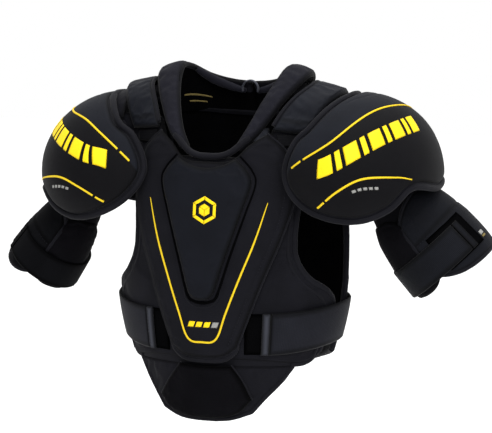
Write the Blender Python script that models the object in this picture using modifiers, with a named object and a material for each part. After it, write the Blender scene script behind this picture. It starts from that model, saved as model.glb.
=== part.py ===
"""Ice hockey shoulder pads: a padded vest with shoulder caps, bicep guards and waist straps.

Frame: metres, +Z up, the chest faces -Y and the wearer's left arm is at +X. The origin lies between
the wearer's shoulders, at the height at which the pads rest on them. Every pad is a sheet that
follows the wearer's body at a stated level (distance off the body), thickened with Solidify.
"""

import math

import bmesh
import bpy
import numpy as np

MM = 0.001

# The wearer's body that the pads are shaped on
CHEST_HALF_WIDTH = 0.165
CHEST_HALF_DEPTH = 0.115
CHEST_CENTRE_Y = -0.005
CHEST_CENTRE_Z = -0.26
SHOULDER_RISE = 0.29
SHOULDER_ROUNDNESS = 3.0
BELLY_LEAN = 0.014
WAIST_TAPER = 0.12
HIP_TAPER = 0.28
SHOULDER_RADIUS = 0.050
SHOULDER_INNER = (0.09, 0.0, -0.035)
SHOULDER_OUTER = (0.20, 0.0, -0.060)
SHOULDER_BLEND = 0.030

# Levels off the body, from the lining outwards
LINER_LEVEL, LINER_THICK = -0.4 * MM, 1.5 * MM
PANEL_LEVEL, PANEL_THICK = 2.5 * MM, 8.5 * MM
INSERT_LEVEL, INSERT_THICK = 12.5 * MM, 2.0 * MM
PLATE_LEVEL, PLATE_THICK = 16.0 * MM, 8.0 * MM
STERNUM_LEVEL, STERNUM_THICK = 25.5 * MM, 9.0 * MM
YOKE_LEVEL, YOKE_THICK = 13.0 * MM, 11.0 * MM
PATCH_LEVEL, PATCH_THICK = 12.3 * MM, 1.2 * MM
STRAP_LEVEL, STRAP_THICK = 15.0 * MM, 2.5 * MM
PIPING_RADIUS = 1.5 * MM

STRAP_TOP, STRAP_BOTTOM = -0.299, -0.362
STRAP_FRONT, STRAP_SEAM = 32.0, 126.0
YOKE_AXIS_Z = -0.060

# Shoulder cap: part of an ellipsoid over the shoulder joint
CAP_CENTRE = np.array((0.195, -0.010, -0.100))
CAP_RADII = np.array((0.122, 0.150, 0.118))
CAP_COVER_THICK = 5.0 * MM
CAP_SHELL_DEPTH, CAP_SHELL_THICK = 6.5 * MM, 2.5 * MM
CAP_FOAM_DEPTH, CAP_FOAM_THICK = 10.5 * MM, 7.0 * MM
CAP_RIM_RADIUS = 4.5 * MM
CAP_SEGMENTS, CAP_RINGS = 26, 6
CAP_HINGE = (0.128, -0.002)
CAP_DROP = {"left": 0.0, "right": 9.0}
CAP_MARGIN = 0.077
CAP_MIDDLE = (0.50, -0.10, 0.80)
CAP_RIM = (
    (-0.012, -0.030, 0.115), (-0.040, -0.095, 0.077), (-0.066, -0.106, 0.052), (-0.080, -0.118, 0.000),
    (-0.042, -0.132, -0.040), (0.031, -0.126, -0.057), (0.078, -0.106, -0.041), (0.104, -0.075, -0.010),
    (0.118, 0.000, -0.018), (0.104, 0.080, -0.014), (0.075, 0.112, -0.045), (0.028, 0.126, -0.060),
    (-0.042, 0.130, -0.042), (-0.074, 0.118, 0.000), (-0.062, 0.104, 0.050), (-0.036, 0.085, 0.085),
    (-0.012, 0.030, 0.117),
)

# Piping over the cap, from its centre, front to back
CAP_UPPER_FRONT = {
    "left": ((-0.062, -0.127, 0.018), (-0.018, -0.136, 0.047), (0.009, -0.122, 0.068)),
    "right": ((-0.062, -0.127, 0.018), (-0.022, -0.124, 0.064), (0.005, -0.105, 0.085)),
}
CAP_UPPER_REST = ((0.043, -0.064, 0.099), (0.062, 0.000, 0.101), (0.060, 0.070, 0.086), (0.040, 0.110, 0.062))
CAP_LOWER = (
    (-0.018, -0.141, -0.036), (0.014, -0.148, -0.010), (0.048, -0.138, 0.008), (0.088, -0.103, 0.008),
    (0.103, -0.079, 0.003),
)

# Bicep guard: a sleeve around the upper arm
ARM_ROOT = {"left": (0.199, 0.0, -0.089), "right": (0.2300, 0.0, -0.0990)}
ARM_BACKWARD = 0.15
ARM_SPLAY = {"left": 42.0, "right": 38.0}
ARM_BULGE = {"left": 0.10, "right": 0.0}
ARM_REACH = {
    "left": ((0.070, 0.046), (0.105, 0.056), (0.150, 0.064), (0.208, 0.067)),
    "right": ((0.070, 0.036), (0.105, 0.044), (0.150, 0.052), (0.208, 0.056)),
}
GUARD_TOP, GUARD_END = 0.077, 0.212
STRAP_REACH = (0.148, 0.196)

MATERIALS = {
    "black_knit": ((0.020, 0.021, 0.025), 0.85, 0.0),
    "slate_shell": ((0.040, 0.044, 0.056), 0.55, 0.0),
    "mesh_lining": ((0.010, 0.010, 0.011), 0.95, 0.0),
    "yellow_piping": ((0.80, 0.56, 0.04), 0.45, 0.0),
    "grey_webbing": ((0.110, 0.115, 0.130), 0.75, 0.0),
    "elastic_band": ((0.045, 0.047, 0.055), 0.80, 0.0),
    "loop_pile": ((0.012, 0.012, 0.013), 0.98, 0.0),
    "moulded_plastic": ((0.030, 0.030, 0.034), 0.40, 0.0),
    "foam": ((0.100, 0.100, 0.110), 0.90, 0.0),
}


def clear_scene():
    for obj in list(bpy.data.objects):
        bpy.data.objects.remove(obj)


def material(name):
    found = bpy.data.materials.get(name)
    if found:
        return found
    colour, roughness, metallic = MATERIALS[name]
    made = bpy.data.materials.new(name)
    made.use_nodes = True
    shader = made.node_tree.nodes["Principled BSDF"]
    shader.inputs["Base Color"].default_value = (*colour, 1.0)
    shader.inputs["Roughness"].default_value = roughness
    shader.inputs["Metallic"].default_value = metallic
    return made


# ---------------------------------------------------------------- the body that the pads follow


def smooth(t):
    t = np.clip(t, 0.0, 1.0)
    return t * t * (3 - 2 * t)


def centre_y(z):
    """The trunk's middle, which comes forward towards the belly."""
    return CHEST_CENTRE_Y - BELLY_LEAN * smooth((-0.08 - z) / 0.28)


def trunk_level(p):
    """Distance outside the wearer's trunk, a rounded elliptical column."""
    x, y, z = p[:, 0], p[:, 1] - centre_y(p[:, 2]), p[:, 2]
    waist = 1 - WAIST_TAPER * smooth((-0.26 - z) / 0.24)
    hips = 1 - HIP_TAPER * smooth((-0.26 - z) / 0.24)
    ring = np.hypot(x / (CHEST_HALF_WIDTH * hips), y / (CHEST_HALF_DEPTH * waist))
    lift = np.maximum(0.0, z - CHEST_CENTRE_Z)
    power = SHOULDER_ROUNDNESS
    size = (ring**power + (lift / SHOULDER_RISE) ** power) ** (1 / power)
    size = np.maximum(size, 1e-6)
    return (1 - 1 / size) * np.sqrt(x * x + y * y + lift * lift)


def shoulder_level(p):
    """Distance outside the two shoulders, each a rounded bar sloping down to the arm."""
    q = np.column_stack((np.abs(p[:, 0]), p[:, 1] - CHEST_CENTRE_Y, p[:, 2]))
    start, end = np.array(SHOULDER_INNER), np.array(SHOULDER_OUTER)
    along = np.clip((q - start) @ (end - start) / ((end - start) @ (end - start)), 0.0, 1.0)
    return np.linalg.norm(q - start - along[:, None] * (end - start), axis=1) - SHOULDER_RADIUS


def joined_level(p):
    a, b = trunk_level(p), shoulder_level(p)
    mix = np.clip(0.5 + 0.5 * (b - a) / SHOULDER_BLEND, 0.0, 1.0)
    return b * (1 - mix) + a * mix - SHOULDER_BLEND * mix * (1 - mix)


def body_level(p):
    """Distance off the body, measured square to its surface."""
    step = 1e-4
    slopes = [joined_level(p + step * axis) - joined_level(p - step * axis) for axis in np.eye(3)]
    return joined_level(p) * 2 * step / np.maximum(np.linalg.norm(slopes, axis=0), 1e-9)


def on_body(origin, direction, level):
    """Where rays from inside the body reach the given level off it."""
    near = np.zeros(len(origin))
    far = np.full(len(origin), 0.40)
    for _ in range(40):
        middle = (near + far) / 2
        outside = body_level(origin + middle[:, None] * direction) > level
        near, far = np.where(outside, near, middle), np.where(outside, middle, far)
    return origin + far[:, None] * direction


def around(angle, z, level):
    """A point round the trunk: angle in degrees from the front middle towards +X, height z."""
    turn = np.radians(angle)
    direction = np.column_stack((CHEST_HALF_WIDTH * np.sin(turn), -CHEST_HALF_DEPTH * np.cos(turn), 0 * turn))
    direction /= np.linalg.norm(direction, axis=1)[:, None]
    origin = np.column_stack((0 * turn, centre_y(z), z))
    return on_body(origin, direction, level)


def in_front(x, z, level):
    """A point on the chest straight in front of (x, z)."""
    origin = np.column_stack((x, centre_y(z), z))
    return on_body(origin, np.tile((0.0, -1.0, 0.0), (len(x), 1)), level)


def over_shoulder(x, angle, level):
    """A point over the shoulder: angle 0 looks forwards, 90 up and 180 backwards."""
    turn = np.radians(angle)
    origin = np.column_stack((x, np.full(len(x), CHEST_CENTRE_Y), np.full(len(x), YOKE_AXIS_Z)))
    return on_body(origin, np.column_stack((0 * turn, -np.cos(turn), np.sin(turn))), level)


# ---------------------------------------------------------------- outlines and sheets


def spline(points, at, closed=False):
    """Catmull-Rom curve through the points, read at shares `at` of its length."""
    p = np.array(points, float)
    if closed:
        p = np.vstack((p[-1], p, p[0], p[1]))
    else:
        p = np.vstack((2 * p[0] - p[1], p, 2 * p[-1] - p[-2]))
    fine = []
    for a, b, c, d in zip(p, p[1:], p[2:], p[3:]):
        t = np.linspace(0, 1, 12, endpoint=False)[:, None]
        cubic = (2 * a - 5 * b + 4 * c - d) * t**2 + (3 * b - a - 3 * c + d) * t**3
        fine.append(0.5 * (2 * b + (c - a) * t + cubic))
    fine = np.vstack((*fine, p[-2][None]))
    run = np.concatenate(([0.0], np.cumsum(np.linalg.norm(np.diff(fine, axis=0), axis=1))))
    at = np.atleast_1d(at) * run[-1]
    return np.column_stack([np.interp(at, run, fine[:, k]) for k in range(fine.shape[1])])


def mirrored(half):
    """A left-to-right edge from its right half, which starts on the middle line."""
    return [(-a, b) for a, b in reversed(half[1:])] + list(half)


def patch(bottom, top, left, right):
    """A Coons patch between four edges; scaled so that angles and metres count alike."""
    b0, b1, t0, t1 = (np.array(p, float) for p in (bottom[0], bottom[-1], top[0], top[-1]))

    def read(u, v):
        rim = (1 - v)[:, None] * spline(bottom, u) + v[:, None] * spline(top, u)
        rim += (1 - u)[:, None] * spline(left, v) + u[:, None] * spline(right, v)
        flat = np.outer((1 - u) * (1 - v), b0) + np.outer(u * (1 - v), b1)
        return rim - flat - np.outer((1 - u) * v, t0) - np.outer(u * v, t1)

    return read


def finish_sheet(name, bm, places, material_name, thickness, flip=False):
    """Puts a bmesh sheet's corners in place and thickens it along its outward side."""
    for vertex, place in zip(bm.verts, places):
        vertex.co = place
    if flip:
        bmesh.ops.reverse_faces(bm, faces=bm.faces)
    mesh = bpy.data.meshes.new(name)
    bm.to_mesh(mesh)
    bm.free()
    mesh.shade_smooth()
    mesh.materials.append(material(material_name))
    obj = bpy.data.objects.new(name, mesh)
    PADS.objects.link(obj)
    solid = obj.modifiers.new("thickness", "SOLIDIFY")
    solid.thickness = abs(thickness)
    solid.offset = 1.0 if thickness > 0 else -1.0
    solid.use_even_offset = True
    return obj


def sheet(name, columns, rows, place, material_name, thickness, flip=False):
    """A thickened grid whose corner at shares (u, v) lies at place(u, v)."""
    bm = bmesh.new()
    bmesh.ops.create_grid(bm, x_segments=columns, y_segments=rows, size=0.5)
    flat = np.array([v.co for v in bm.verts], float)
    return finish_sheet(name, bm, place(flat[:, 0] + 0.5, flat[:, 1] + 0.5), material_name, thickness, flip)


def cord(name, points, radius, material_name, closed=False, resolution=1):
    """A round piping or roll along points."""
    curve = bpy.data.curves.new(name, "CURVE")
    curve.dimensions = "3D"
    curve.bevel_depth = radius
    curve.bevel_resolution = resolution
    curve.use_fill_caps = not closed
    line = curve.splines.new("POLY")
    line.points.add(len(points) - 1)
    for point, place in zip(line.points, points):
        point.co = (*place, 1.0)
    line.use_cyclic_u = closed
    curve.materials.append(material(material_name))
    obj = bpy.data.objects.new(name, curve)
    PADS.objects.link(obj)
    return obj


SIDES = {"left": 1.0, "right": -1.0}


def to_side(points, side):
    """Points made for the wearer's left, turned over for the right."""
    return points * np.array((SIDES[side], 1.0, 1.0))


def hung(points, side):
    """Cap points, turned down about the cap's hinge line as far as that side's cap hangs."""
    turn = math.radians(CAP_DROP[side])
    x, z = points[:, 0] - CAP_HINGE[0], points[:, 2] - CAP_HINGE[1]
    across = CAP_HINGE[0] + x * math.cos(turn) + z * math.sin(turn)
    up = CAP_HINGE[1] - x * math.sin(turn) + z * math.cos(turn)
    return np.column_stack((across, points[:, 1], up))


def cap_to_side(points, side):
    return to_side(hung(points, side), side)


# ---------------------------------------------------------------- vest front

PANEL_SIDE = (
    (70, -0.363), (75, -0.328), (76, -0.294), (69, -0.272), (54, -0.250), (45.5, -0.215),
    (46, -0.165), (52, -0.100), (60, -0.050), (68, -0.020),
)
PANEL_NECK = ((0, -0.071), (14, -0.073), (22, -0.070), (32, -0.047), (42, -0.024), (55, -0.016), (68, -0.020))
PANEL_HEM = ((0, -0.373), (25, -0.373), (50, -0.373), (70, -0.363))


def torso_sheet(name, half_bottom, half_top, side_edge, columns, rows, level, thickness, material_name):
    """A left-right symmetric sheet round the trunk, from outlines in (degrees, metres)."""
    left_edge = [(-a, z) for a, z in side_edge]
    shape = patch(mirrored(half_bottom), mirrored(half_top), left_edge, side_edge)

    def place(u, v):
        flat = shape(u, v)
        return around(flat[:, 0], flat[:, 1], level)

    return sheet(name, columns, rows, place, material_name, thickness)


def inset(outline, angle, height):
    """An outline in (degrees, metres), shrunk towards a point on the middle line."""
    return [(a * angle, height + (z - height) * 0.965) for a, z in outline]


def chest_sheet(name, half_bottom, half_top, side_edge, columns, rows, level, thickness, material_name):
    """A symmetric sheet on the chest, from outlines in metres (x, z)."""
    left_edge = [(-x, z) for x, z in side_edge]
    shape = patch(mirrored(half_bottom), mirrored(half_top), left_edge, side_edge)

    def place(u, v):
        flat = shape(u, v)
        return in_front(flat[:, 0], flat[:, 1], level)

    return sheet(name, columns, rows, place, material_name, thickness)


def vest_front():
    torso_sheet(
        "front_panel", PANEL_HEM, PANEL_NECK, PANEL_SIDE,
        16, 14, PANEL_LEVEL, PANEL_THICK, "black_knit",
    )
    torso_sheet(
        "front_liner",
        inset(PANEL_HEM, 0.95, -0.2), inset(PANEL_NECK, 0.95, -0.2), inset(PANEL_SIDE, 0.95, -0.2),
        14, 10, LINER_LEVEL, LINER_THICK, "mesh_lining",
    )
    hem = ((0, -0.366), (0.030, -0.363), (0.050, -0.350))
    neck = ((0, -0.079), (0.036, -0.076), (0.060, -0.054), (0.083, -0.038))
    edge = (
        (0.050, -0.350), (0.066, -0.308), (0.088, -0.247), (0.112, -0.182), (0.124, -0.125), (0.112, -0.068),
        (0.083, -0.038),
    )
    chest_sheet("chest_plate", hem, neck, edge, 12, 12, PLATE_LEVEL, PLATE_THICK, "black_knit")
    small_hem = ((0, -0.352), (0.022, -0.349), (0.038, -0.338))
    small_neck = ((0, -0.094), (0.034, -0.092), (0.055, -0.072), (0.076, -0.054))
    small_edge = (
        (0.038, -0.338), (0.053, -0.300), (0.074, -0.242), (0.097, -0.182),
        (0.108, -0.128), (0.098, -0.080), (0.076, -0.054),
    )
    chest_sheet(
        "chest_insert", small_hem, small_neck, small_edge,
        10, 8, INSERT_LEVEL, INSERT_THICK, "moulded_plastic",
    )
    foot = ((0, -0.279), (0.012, -0.277), (0.020, -0.268))
    brow = ((0, -0.087), (0.024, -0.083), (0.046, -0.073))
    flank = (
        (0.020, -0.268), (0.036, -0.215), (0.057, -0.150), (0.069, -0.110), (0.064, -0.092),
        (0.046, -0.073),
    )
    chest_sheet("sternum_pad", foot, brow, flank, 8, 10, STERNUM_LEVEL, STERNUM_THICK, "slate_shell")


def v_piping():
    """The yellow piping that outlines the lower half of the chest plate."""
    half = (
        (0, -0.342), (0.014, -0.340), (0.024, -0.329), (0.036, -0.298), (0.056, -0.245), (0.076, -0.193),
        (0.092, -0.136),
    )
    flat = spline(mirrored(half), np.linspace(0, 1, 27))
    route = in_front(flat[:, 0], flat[:, 1], PLATE_LEVEL + PLATE_THICK + 2.4 * MM)
    cord("chest_piping", route, PIPING_RADIUS, "yellow_piping")


def neckline_binding():
    flat = spline(mirrored(((0, -0.0655), (0.014, -0.065), (0.026, -0.061))), np.linspace(0, 1, 9))
    cord("neckline_binding", in_front(flat[:, 0], flat[:, 1], 16.5 * MM), 4.0 * MM, "grey_webbing")


# ---------------------------------------------------------------- collar, yoke and shoulder lining

COLLAR_INNER = (
    (0.034, -0.117, -0.058), (0.050, -0.104, -0.028), (0.066, -0.073, 0.014), (0.082, -0.024, 0.054),
    (0.080, 0.018, 0.055), (0.058, 0.050, 0.038), (0.030, 0.066, 0.029), (0.0008, 0.070, 0.026),
)
COLLAR_OUTER = (
    (0.048, -0.119, -0.061), (0.073, -0.106, -0.032), (0.098, -0.075, 0.012), (0.118, -0.028, 0.044),
    (0.116, 0.024, 0.045), (0.092, 0.072, 0.018), (0.052, 0.096, -0.006), (0.0008, 0.103, -0.014),
)
COLLAR_THICK = 11.0 * MM


def collar(side):
    """A padded lapel from the neckline over the shoulder to the back of the neck."""

    def place(u, v):
        inner, outer = spline(COLLAR_INNER, u), spline(COLLAR_OUTER, u)
        return to_side(inner + v[:, None] * (outer - inner), side)

    sheet("collar_" + side, 14, 3, place, "slate_shell", -COLLAR_THICK, flip=side == "left")


def yoke(side):
    """The padded shoulder bridge outside the collar, and the lining pad under it."""
    inner = ((0.088, 16), (0.104, 40), (0.124, 70), (0.126, 90), (0.122, 110), (0.104, 140), (0.092, 164))
    outer = ((0.138, 16), (0.152, 40), (0.168, 70), (0.172, 90), (0.168, 110), (0.152, 140), (0.138, 164))

    def place(u, v):
        a, b = spline(inner, v), spline(outer, v)
        flat = a + u[:, None] * (b - a)
        return to_side(over_shoulder(flat[:, 0], flat[:, 1], YOKE_LEVEL), side)

    sheet("yoke_" + side, 4, 14, place, "slate_shell", YOKE_THICK, flip=side == "right")

    def lining(u, v):
        return to_side(over_shoulder(0.092 + 0.058 * u, 58 + 64 * v, PANEL_LEVEL), side)

    sheet("shoulder_lining_" + side, 5, 6, lining, "foam", PANEL_THICK, flip=side == "right")


# ---------------------------------------------------------------- vest back


def vest_back():
    edge = (
        (74, -0.372), (78, -0.330), (80, -0.290), (78, -0.230), (70, -0.165), (58, -0.100),
        (60, -0.050), (68, -0.020),
    )
    neck = ((0, -0.026), (20, -0.024), (40, -0.020), (68, -0.020))
    hem = ((0, -0.410), (25, -0.405), (50, -0.388), (74, -0.372))

    def back_sheet(name, bottom, top, side, columns, rows, level, thick, mat):
        """Angles count from the back middle."""
        shape = patch(mirrored(bottom), mirrored(top), [(-a, z) for a, z in side], side)

        def place(u, v):
            flat = shape(u, v)
            return around(180 - flat[:, 0], flat[:, 1], level)

        return sheet(name, columns, rows, place, mat, thick, flip=True)

    back_sheet("back_panel", hem, neck, edge, 16, 14, PANEL_LEVEL, PANEL_THICK, "black_knit")
    back_sheet(
        "back_liner", inset(hem, 0.95, -0.2), inset(neck, 0.95, -0.2), inset(edge, 0.95, -0.2),
        14, 10, LINER_LEVEL, LINER_THICK, "mesh_lining",
    )
    foot = ((0, -0.375), (10, -0.370), (16, -0.352))
    brow = ((0, -0.062), (9, -0.064), (16, -0.080))
    flank = ((16, -0.352), (13, -0.270), (16, -0.180), (21, -0.120), (16, -0.080))
    back_sheet("spine_pad", foot, brow, flank, 6, 14, PLATE_LEVEL, PLATE_THICK, "slate_shell")
    thin = [(a * 0.75, -0.21 + (z + 0.21) * 0.93) for a, z in foot]
    thin_brow = [(a * 0.75, -0.21 + (z + 0.21) * 0.93) for a, z in brow]
    thin_flank = [(a * 0.75, -0.21 + (z + 0.21) * 0.93) for a, z in flank]
    back_sheet(
        "spine_insert", thin, thin_brow, thin_flank,
        6, 12, INSERT_LEVEL, INSERT_THICK, "moulded_plastic",
    )
    for side in SIDES:
        bottom = ((26, -0.225), (38, -0.232), (50, -0.215))
        top = ((27, -0.082), (38, -0.070), (49, -0.085))
        near = ((26, -0.225), (23, -0.170), (27, -0.082))
        far = ((50, -0.215), (56, -0.160), (49, -0.085))
        shape = patch(bottom, top, near, far)

        def place(u, v):
            flat = shape(u, v)
            return to_side(around(180 - flat[:, 0], flat[:, 1], INSERT_LEVEL), side)

        sheet("scapula_pad_" + side, 6, 8, place, "black_knit", 9 * MM, flip=side == "left")


def hang_loop():
    """A webbing loop sewn inside the back of the neck."""
    turns = np.radians(np.linspace(200, -20, 12))
    across, up = 0.016 * np.cos(turns), 0.012 + 0.014 * np.sin(turns)
    points = np.column_stack((across, np.full(len(turns), 0.055), up))
    cord("hang_loop", points, 1.6 * MM, "grey_webbing")


# ---------------------------------------------------------------- waist straps and belly


def waist_strap(side):
    """The elastic band from the back panel to the chest, its pull tab and the pile patch it grips."""
    band = (STRAP_BOTTOM, STRAP_TOP)

    def ribbon(name, start, end, columns, level, thick, mat, low=0.0, high=0.0):
        def place(u, v):
            angle = start + (end - start) * u
            rise = 0.010 * smooth((angle - 30) / 60)
            z = band[0] - low + (band[1] + high - band[0] + low) * v + rise
            return to_side(around(angle, z, level), side)

        return sheet(name, columns, 2, place, mat, thick, flip=side == "right")

    ribbon("side_strap_" + side, STRAP_FRONT, STRAP_SEAM, 20, STRAP_LEVEL, STRAP_THICK, "elastic_band")
    tab = (STRAP_FRONT - 4.2, STRAP_FRONT - 0.3)
    ribbon("strap_tab_" + side, *tab, 1, STRAP_LEVEL, STRAP_THICK + 1 * MM, "grey_webbing")
    grip = (25.5, 52)
    ribbon(
        "strap_patch_" + side, *grip, 6, PATCH_LEVEL, PATCH_THICK, "loop_pile",
        low=-1 * MM, high=-1 * MM,
    )


def belly():
    hem = ((0, -0.461), (14, -0.459), (27, -0.449))
    top = ((0, -0.378), (25, -0.378), (50, -0.379))
    edge = ((27, -0.449), (35, -0.426), (43, -0.404), (50, -0.379))
    torso_sheet("belly_panel", hem, top, edge, 12, 6, PANEL_LEVEL, PANEL_THICK, "black_knit")
    foot = ((0, -0.452), (0.036, -0.449), (0.062, -0.438), (0.074, -0.424))
    brow = ((0, -0.380), (0.022, -0.379), (0.040, -0.378))
    flank = ((0.074, -0.424), (0.057, -0.400), (0.040, -0.378))
    chest_sheet("belly_pad", foot, brow, flank, 10, 6, INSERT_LEVEL, 11 * MM, "black_knit")


# ---------------------------------------------------------------- shoulder caps


def turn_between(a, b, t):
    """Unit vectors a share t of the way from a to each b."""
    angle = np.arccos(np.clip((a * b).sum(axis=1), -1, 1))
    part = np.sin((1 - t) * angle)[:, None] * a + np.sin(t * angle)[:, None] * b
    return part / np.sin(angle)[:, None]


def cap_edge(turn, margin):
    """Directions from the cap's centre to a line that runs a margin, in radians, inside its rim."""
    rim = np.array(CAP_RIM) / CAP_RADII
    around_rim = [spline(rim, (turn + step) % 1.0, closed=True) for step in (-1e-3, 0, 1e-3)]
    behind, here, ahead = (way / np.linalg.norm(way, axis=1)[:, None] for way in around_rim)
    inward = np.cross(here, ahead - behind)
    inward /= np.linalg.norm(inward, axis=1)[:, None]
    return here * math.cos(margin) + inward * math.sin(margin)


def cap_point(turn, share, depth, margin=0.0):
    """A point on the cap: turn in shares of the rim, share of the way out to it, depth inwards."""
    middle = np.tile(np.array(CAP_MIDDLE) / np.linalg.norm(CAP_MIDDLE), (len(turn), 1))
    return CAP_CENTRE + turn_between(middle, cap_edge(turn, margin), share) * (CAP_RADII - depth)


def cap_sheet(name, side, depth, thickness, rings, material_name):
    """A layer of the cap; all layers share one net of rings, of which the inner ones stop short."""
    bm = bmesh.new()
    bmesh.ops.create_uvsphere(bm, u_segments=CAP_SEGMENTS, v_segments=2 * CAP_RINGS, radius=1.0)
    lowest = math.cos(rings / CAP_RINGS * math.pi / 2) - 1e-4
    bmesh.ops.delete(bm, geom=[v for v in bm.verts if v.co.z < lowest], context="VERTS")
    flat = np.array([v.co for v in bm.verts], float)
    turn = (np.arctan2(flat[:, 1], flat[:, 0]) / (2 * math.pi)) % 1.0
    share = np.arccos(np.clip(flat[:, 2], -1, 1)) / (math.pi / 2)
    places = cap_to_side(cap_point(turn, np.maximum(share, 1e-4), depth, CAP_MARGIN), side)
    return finish_sheet(name, bm, places, material_name, -thickness, flip=side == "right")


def shoulder_cap(side):
    cap_sheet("cap_cover_" + side, side, 0.0, CAP_COVER_THICK, CAP_RINGS, "slate_shell")
    cap_sheet("cap_shell_" + side, side, CAP_SHELL_DEPTH, CAP_SHELL_THICK, CAP_RINGS - 1, "moulded_plastic")
    cap_sheet("cap_foam_" + side, side, CAP_FOAM_DEPTH, CAP_FOAM_THICK, CAP_RINGS - 1, "foam")
    turn = np.arange(2 * CAP_SEGMENTS) / (2 * CAP_SEGMENTS)
    rim = cap_to_side(cap_point(turn, np.ones(len(turn)), 2.5 * MM), side)
    cord("cap_rim_" + side, rim, CAP_RIM_RADIUS, "black_knit", closed=True)
    for name, route in (("upper", CAP_UPPER_FRONT[side] + CAP_UPPER_REST), ("lower", CAP_LOWER)):
        way = spline(route, np.linspace(0, 1, 14)) / CAP_RADII
        way /= np.linalg.norm(way, axis=1)[:, None]
        line = CAP_CENTRE + way * (CAP_RADII + PIPING_RADIUS + 0.8 * MM)
        cord(f"cap_piping_{name}_{side}", cap_to_side(line, side), PIPING_RADIUS, "yellow_piping")


# ---------------------------------------------------------------- bicep guards


def arm_axes(side):
    """The arm's direction, and the two directions across it: outwards and to the front."""
    splay = math.radians(ARM_SPLAY[side])
    along = np.array((math.sin(splay), ARM_BACKWARD, -math.cos(splay)))
    along /= np.linalg.norm(along)
    out = np.array((math.cos(splay), 0.0, math.sin(splay)))
    out -= (out @ along) * along
    out /= np.linalg.norm(out)
    return along, out, np.cross(along, out)


def arm_root(side):
    return hung(np.array((ARM_ROOT[side],)), side)


def around_arm(side, angle, reach, extra):
    """A point round the arm: angle 0 faces outwards, 90 forwards; reach runs down the arm."""
    along, out, front = arm_axes(side)
    if front[1] > 0:
        front = -front
    turn = np.radians(angle)
    steps = np.array(ARM_REACH[side])
    bulge = 1 + ARM_BULGE[side] * (1 - np.cos(turn)) / 2
    radius = np.interp(reach, steps[:, 0], steps[:, 1]) * bulge + extra
    across = np.cos(turn)[:, None] * out + np.sin(turn)[:, None] * front
    return arm_root(side) + reach[:, None] * along + radius[:, None] * across


def arm_sheet(name, side, angles, reaches, columns, rows, extra, thickness, material_name, trim=0.0):
    """A sheet round the arm; trim draws its corners in."""

    def place(u, v):
        angle = angles[0] + (angles[1] - angles[0]) * u
        corner = trim * (2 * u - 1) ** 2
        reach = reaches[0] + corner + (reaches[1] - reaches[0] - 2 * corner) * v
        return to_side(around_arm(side, angle, reach, extra), side)

    return sheet(name, columns, rows, place, material_name, thickness, flip=side == "right")


def bicep_guard(side):
    whole, guard = (-96, 96), (GUARD_TOP, GUARD_END)
    middle, plate = (-62, 62), (0.090, 0.195)
    arm_sheet("bicep_foam_" + side, side, whole, guard, 12, 4, -10.8 * MM, 5 * MM, "foam", 0.012)
    arm_sheet(
        "bicep_plate_" + side, side, middle, plate, 10, 3, -4.4 * MM, 1.6 * MM, "moulded_plastic", 0.012
    )
    arm_sheet("bicep_cover_" + side, side, whole, guard, 14, 5, -1.8 * MM, 4 * MM, "slate_shell", 0.012)
    wing = (0.082, 0.200)
    arm_sheet("bicep_wing_" + side, side, (99, 196), wing, 8, 4, -7 * MM, 6 * MM, "black_knit", 0.010)
    arm_sheet("bicep_patch_" + side, side, (20, 80), (0.140, 0.198), 5, 2, 3.2 * MM, 1.2 * MM, "loop_pile")


def bicep_strap(side):
    """The sewn run of the strap crosses the guard's open side; the free run closes over the front."""
    sewn, free, tab = (182, 262), (44, 178), (34, 43.4)
    arm_sheet("bicep_strap_sewn_" + side, side, sewn, STRAP_REACH, 8, 2, 6.0 * MM, 2.2 * MM, "elastic_band")
    arm_sheet("bicep_strap_" + side, side, free, STRAP_REACH, 14, 2, 6.0 * MM, 2.2 * MM, "elastic_band")
    arm_sheet("bicep_tab_" + side, side, tab, STRAP_REACH, 1, 2, 6.0 * MM, 3.0 * MM, "grey_webbing")


clear_scene()
PADS = bpy.data.collections.new("hockey_shoulder_pads")
bpy.context.scene.collection.children.link(PADS)
vest_front()
v_piping()
neckline_binding()
vest_back()
hang_loop()
belly()
for each_side in SIDES:
    collar(each_side)
    yoke(each_side)
    waist_strap(each_side)
    shoulder_cap(each_side)
    bicep_guard(each_side)
    bicep_strap(each_side)
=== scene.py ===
"""Looks for the ice hockey shoulder pads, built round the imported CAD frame.

Metres, +Z up, the chest faces -Y and the wearer's left arm is at +X. Pads follow the same body form,
levels and outlines as the CAD, with crowned tops, sewn grooves, rolled bindings and stitches.
"""

import math

import bpy
import numpy as np
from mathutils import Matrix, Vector, noise


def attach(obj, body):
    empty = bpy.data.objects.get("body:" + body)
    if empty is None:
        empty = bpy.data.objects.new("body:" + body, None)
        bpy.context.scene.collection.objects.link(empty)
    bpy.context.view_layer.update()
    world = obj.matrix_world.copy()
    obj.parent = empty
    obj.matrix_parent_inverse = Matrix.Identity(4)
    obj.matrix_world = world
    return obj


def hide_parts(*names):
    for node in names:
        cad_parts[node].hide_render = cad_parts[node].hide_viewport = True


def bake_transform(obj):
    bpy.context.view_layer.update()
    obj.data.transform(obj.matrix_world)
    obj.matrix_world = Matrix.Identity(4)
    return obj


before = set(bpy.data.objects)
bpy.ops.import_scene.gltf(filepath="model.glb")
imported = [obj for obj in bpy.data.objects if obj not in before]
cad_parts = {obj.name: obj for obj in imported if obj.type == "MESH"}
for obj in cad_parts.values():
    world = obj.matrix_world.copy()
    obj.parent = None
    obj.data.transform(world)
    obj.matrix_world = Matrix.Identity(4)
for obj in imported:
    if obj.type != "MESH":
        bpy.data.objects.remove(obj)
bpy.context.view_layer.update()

MM = 0.001
SIDES = {"left": 1.0, "right": -1.0}

# ---------------------------------------------------------------- the body that the pads follow

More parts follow.
